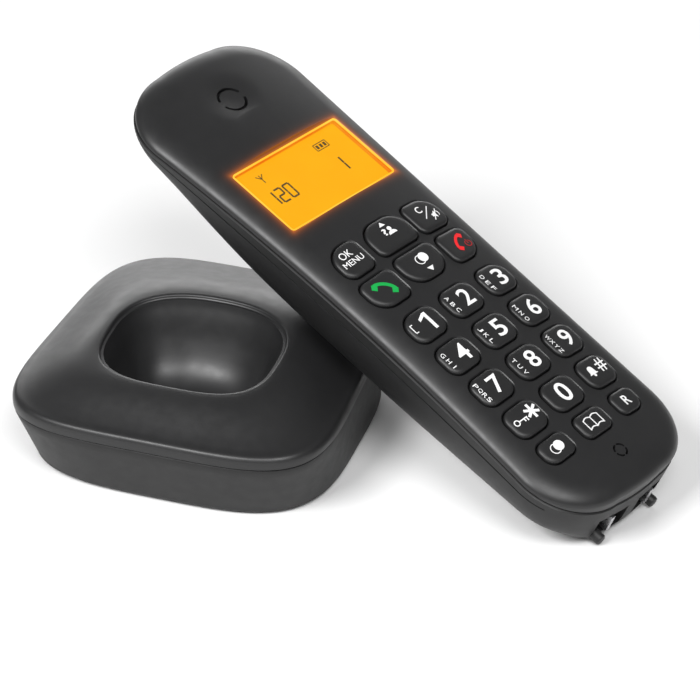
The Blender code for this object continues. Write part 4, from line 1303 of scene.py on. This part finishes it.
def make_bezel():
    """Glowing lining of the display opening: a bright lip and a wall down to the window."""
    levels = ((-0.04, -0.30), (-0.04, -0.02), (-0.16, 0.04), (-0.34, -0.02), (-0.42, -0.24),
              (-0.38, -0.5))
    lip = closed_skin([[(x, y, face_height(x, y) + rise) for x, y in screen_outline(grow)]
                       for grow, rise in levels])
    item = finish_mesh("display_lip", lip, HANDSET, "handset", RIM_LOOK)
    levels = ((-0.05, lambda x, y: crown(y) - 3.2), (-0.05, lambda x, y: face_height(x, y) - 0.55),
              (-0.30, lambda x, y: face_height(x, y) - 0.55), (-0.32, lambda x, y: crown(y) - 3.2))
    wall = closed_skin([[(x, y, height(x, y)) for x, y in screen_outline(grow)]
                        for grow, height in levels])
    item = finish_mesh("display_wall", wall, HANDSET, "handset", WALL_LOOK)


def make_panel():
    """The glowing panel on a dark tray that keeps its light from the seam of the case."""
    height = SCREEN_TOP - SCREEN_BOTTOM + PANEL_MARGIN
    outline = rounded_rectangle(SCREEN_CENTRE, PANEL_WIDTH, height, (0.5,) * 4)
    panel = bmesh.new()
    add_prism(panel, [(x * 0.97, y) for x, y in outline], PANEL_TOP - PANEL_SKIN, PANEL_TOP)
    item = finish_mesh("amber_panel", panel, HANDSET, "handset", PANEL_LOOK)
    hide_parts("lcd_panel")
    tray = bmesh.new()
    add_prism(tray, outline, PANEL_BOTTOM, PANEL_TOP - PANEL_SKIN)
    item = finish_mesh("panel_tray", tray, HANDSET, "handset", DARK_LOOK)


def make_window():
    width = 2.0 * (SCREEN_HALF_WIDTH - GAP)
    height = SCREEN_TOP - SCREEN_BOTTOM - 2.0 * GAP
    rings = []
    for inset, drop in ((0.0, 3.0), (0.0, LENS_DROP + 0.15), (0.15, LENS_DROP)):
        outline = rounded_rectangle(SCREEN_CENTRE, width, height, (0.8,) * 4, -inset)
        rings.append([(x, y, crown(y) - drop) for x, y in outline])
    bm = bmesh.new()
    add_levels(bm, rings)
    item = finish_mesh("window_pane", bm, HANDSET, "handset", WINDOW_LOOK)
    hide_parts("display_window")


SEGMENTS = {"a": ((0.0, 1.0), (1.0, 1.0)), "b": ((1.0, 1.0), (1.0, 0.5)),
            "c": ((1.0, 0.5), (1.0, 0.0)), "d": ((0.0, 0.0), (1.0, 0.0)),
            "e": ((0.0, 0.0), (0.0, 0.5)), "f": ((0.0, 0.5), (0.0, 1.0)),
            "g": ((0.0, 0.5), (1.0, 0.5))}
DIGIT_SEGMENTS = {"0": "abcdef", "1": "bc", "2": "abged", "8": "abcdefg"}


def lcd_digit(mark, digit, corner, width, height):
    for name in DIGIT_SEGMENTS[digit]:
        (ax, ay), (bx, by) = SEGMENTS[name]
        start = Vector((corner[0] + ax * width, corner[1] + ay * height))
        end = Vector((corner[0] + bx * width, corner[1] + by * height))
        trim = (end - start).normalized() * 0.32
        mark.line([tuple(start + trim), tuple(end - trim)], 0.52)


def make_lcd_marks():
    mark = Print(lambda x, y: PANEL_TOP + 0.02, "handset", "lcd_panel", thickness=0.03)
    for index, digit in enumerate("120"):
        lcd_digit(mark, digit, (-14.7 + 3.2 * index, 33.2), 2.1, 4.4)
    lcd_digit(mark, "1", (10.8, 32.1), 1.6, 4.6)
    battery = rounded_rectangle((11.4, 41.9), 4.4, 2.1, (0.2,) * 4, steps=2)
    mark.line(battery + battery[:1], 0.22)
    for k in range(3):
        x = 10.1 + 1.3 * k
        mark.polygon([(x - 0.4, 41.3), (x + 0.4, 41.3), (x + 0.4, 42.5), (x - 0.4, 42.5)])
    mark.line([(-11.2, 40.7), (-11.2, 43.2)], 0.25)
    mark.line([(-12.3, 43.2), (-11.2, 41.9), (-10.1, 43.2)], 0.25)
    mark.finish("lcd_marks", SEGMENT_LOOK)


# ---------------------------------------------------------------- carried-over parts

def dress_nodes():
    """Gives every CAD node that stays its own finish."""
    looks = {"base_screw": STEEL_LOOK, "handset_screw": STEEL_LOOK, "base_foot": RUBBER_LOOK,
             "base_contact": GOLD_LOOK, "charge_strip": STEEL_LOOK, "microphone": STEEL_LOOK,
             "battery_contact": STEEL_LOOK, "battery_cell": CELL_LOOK, "keypad_mat": RUBBER_LOOK,
             "base_circuit_board": BOARD_LOOK, "handset_circuit_board": BOARD_LOOK}
    for name, node in frame["nodes"].items():
        look = DARK_LOOK
        for start, candidate in looks.items():
            if name.startswith(start):
                look = candidate
        node.data.materials.clear()
        node.data.materials.append(look)


# ---------------------------------------------------------------- set and camera

CAMERA_AZIMUTH = math.radians(19.1)
CAMERA_ELEVATION = math.radians(32.4)
CAMERA_DISTANCE = 1.05
CAMERA_TARGET = (22.4, 44.4, 0.0)
CAMERA_LENS = 205.7
SENSOR_WIDTH = 36.0
CLIP_END = 20.0


def make_camera():
    data = bpy.data.cameras.new("camera")
    camera = add_object("camera", data)
    flat = math.cos(CAMERA_ELEVATION)
    back = Vector((math.sin(CAMERA_AZIMUTH) * flat, -math.cos(CAMERA_AZIMUTH) * flat,
                   math.sin(CAMERA_ELEVATION)))
    camera.location = BASE @ Vector(CAMERA_TARGET) + back * CAMERA_DISTANCE
    camera.rotation_euler = back.to_track_quat("Z", "Y").to_euler()
    data.lens = CAMERA_LENS
    data.sensor_width = SENSOR_WIDTH
    data.clip_end = CLIP_END
    bpy.context.scene.camera = camera


FLOOR_HALF_WIDTH = 3000.0


def make_floor():
    bm = bmesh.new()
    bmesh.ops.create_grid(bm, x_segments=1, y_segments=1, size=FLOOR_HALF_WIDTH)
    floor = finish_mesh("floor", bm, Matrix.Scale(MM, 4), None, floor_look("floor"))


# Name, direction, distance, width and height, power.
LIGHTS = (
    ("front_left_softbox", (-0.30, -0.66, 0.70), 1.3, (0.55, 0.4), 14.0),
    ("front_right_softbox", (0.45, -0.60, 0.90), 1.7, (0.9, 0.7), 18.0),
    ("back_left_softbox", (-0.38, 0.90, 0.31), 1.6, (1.4, 0.7), 11.0),
)
WORLD_STRENGTH = 0.22


def area_light(name, direction, distance, size, power):
    data = bpy.data.lights.new(name, "AREA")
    data.shape = "RECTANGLE"
    data.size, data.size_y = size
    data.energy = power
    light = add_object(name, data)
    away = Vector(direction).normalized()
    light.location = away * distance
    light.rotation_euler = away.to_track_quat("Z", "Y").to_euler()


def make_lights():
    for light in LIGHTS:
        area_light(*light)
    world = bpy.data.worlds.new("studio")
    world.use_nodes = True
    world.node_tree.nodes["Background"].inputs["Color"].default_value = (1.0, 1.0, 1.0, 1.0)
    world.node_tree.nodes["Background"].inputs["Strength"].default_value = WORLD_STRENGTH
    bpy.context.scene.world = world
    bpy.context.scene.view_settings.view_transform = "Standard"


make_camera()
make_floor()
make_lights()
dress_nodes()
make_base_top()
make_base_bottom()
make_page_button()
make_front_case()
make_rear_case()
make_nubs()
make_battery_door()
for key in KEYS:
    make_key(*key)
make_legends()
make_bezel()
make_panel()
make_window()
make_lcd_marks()
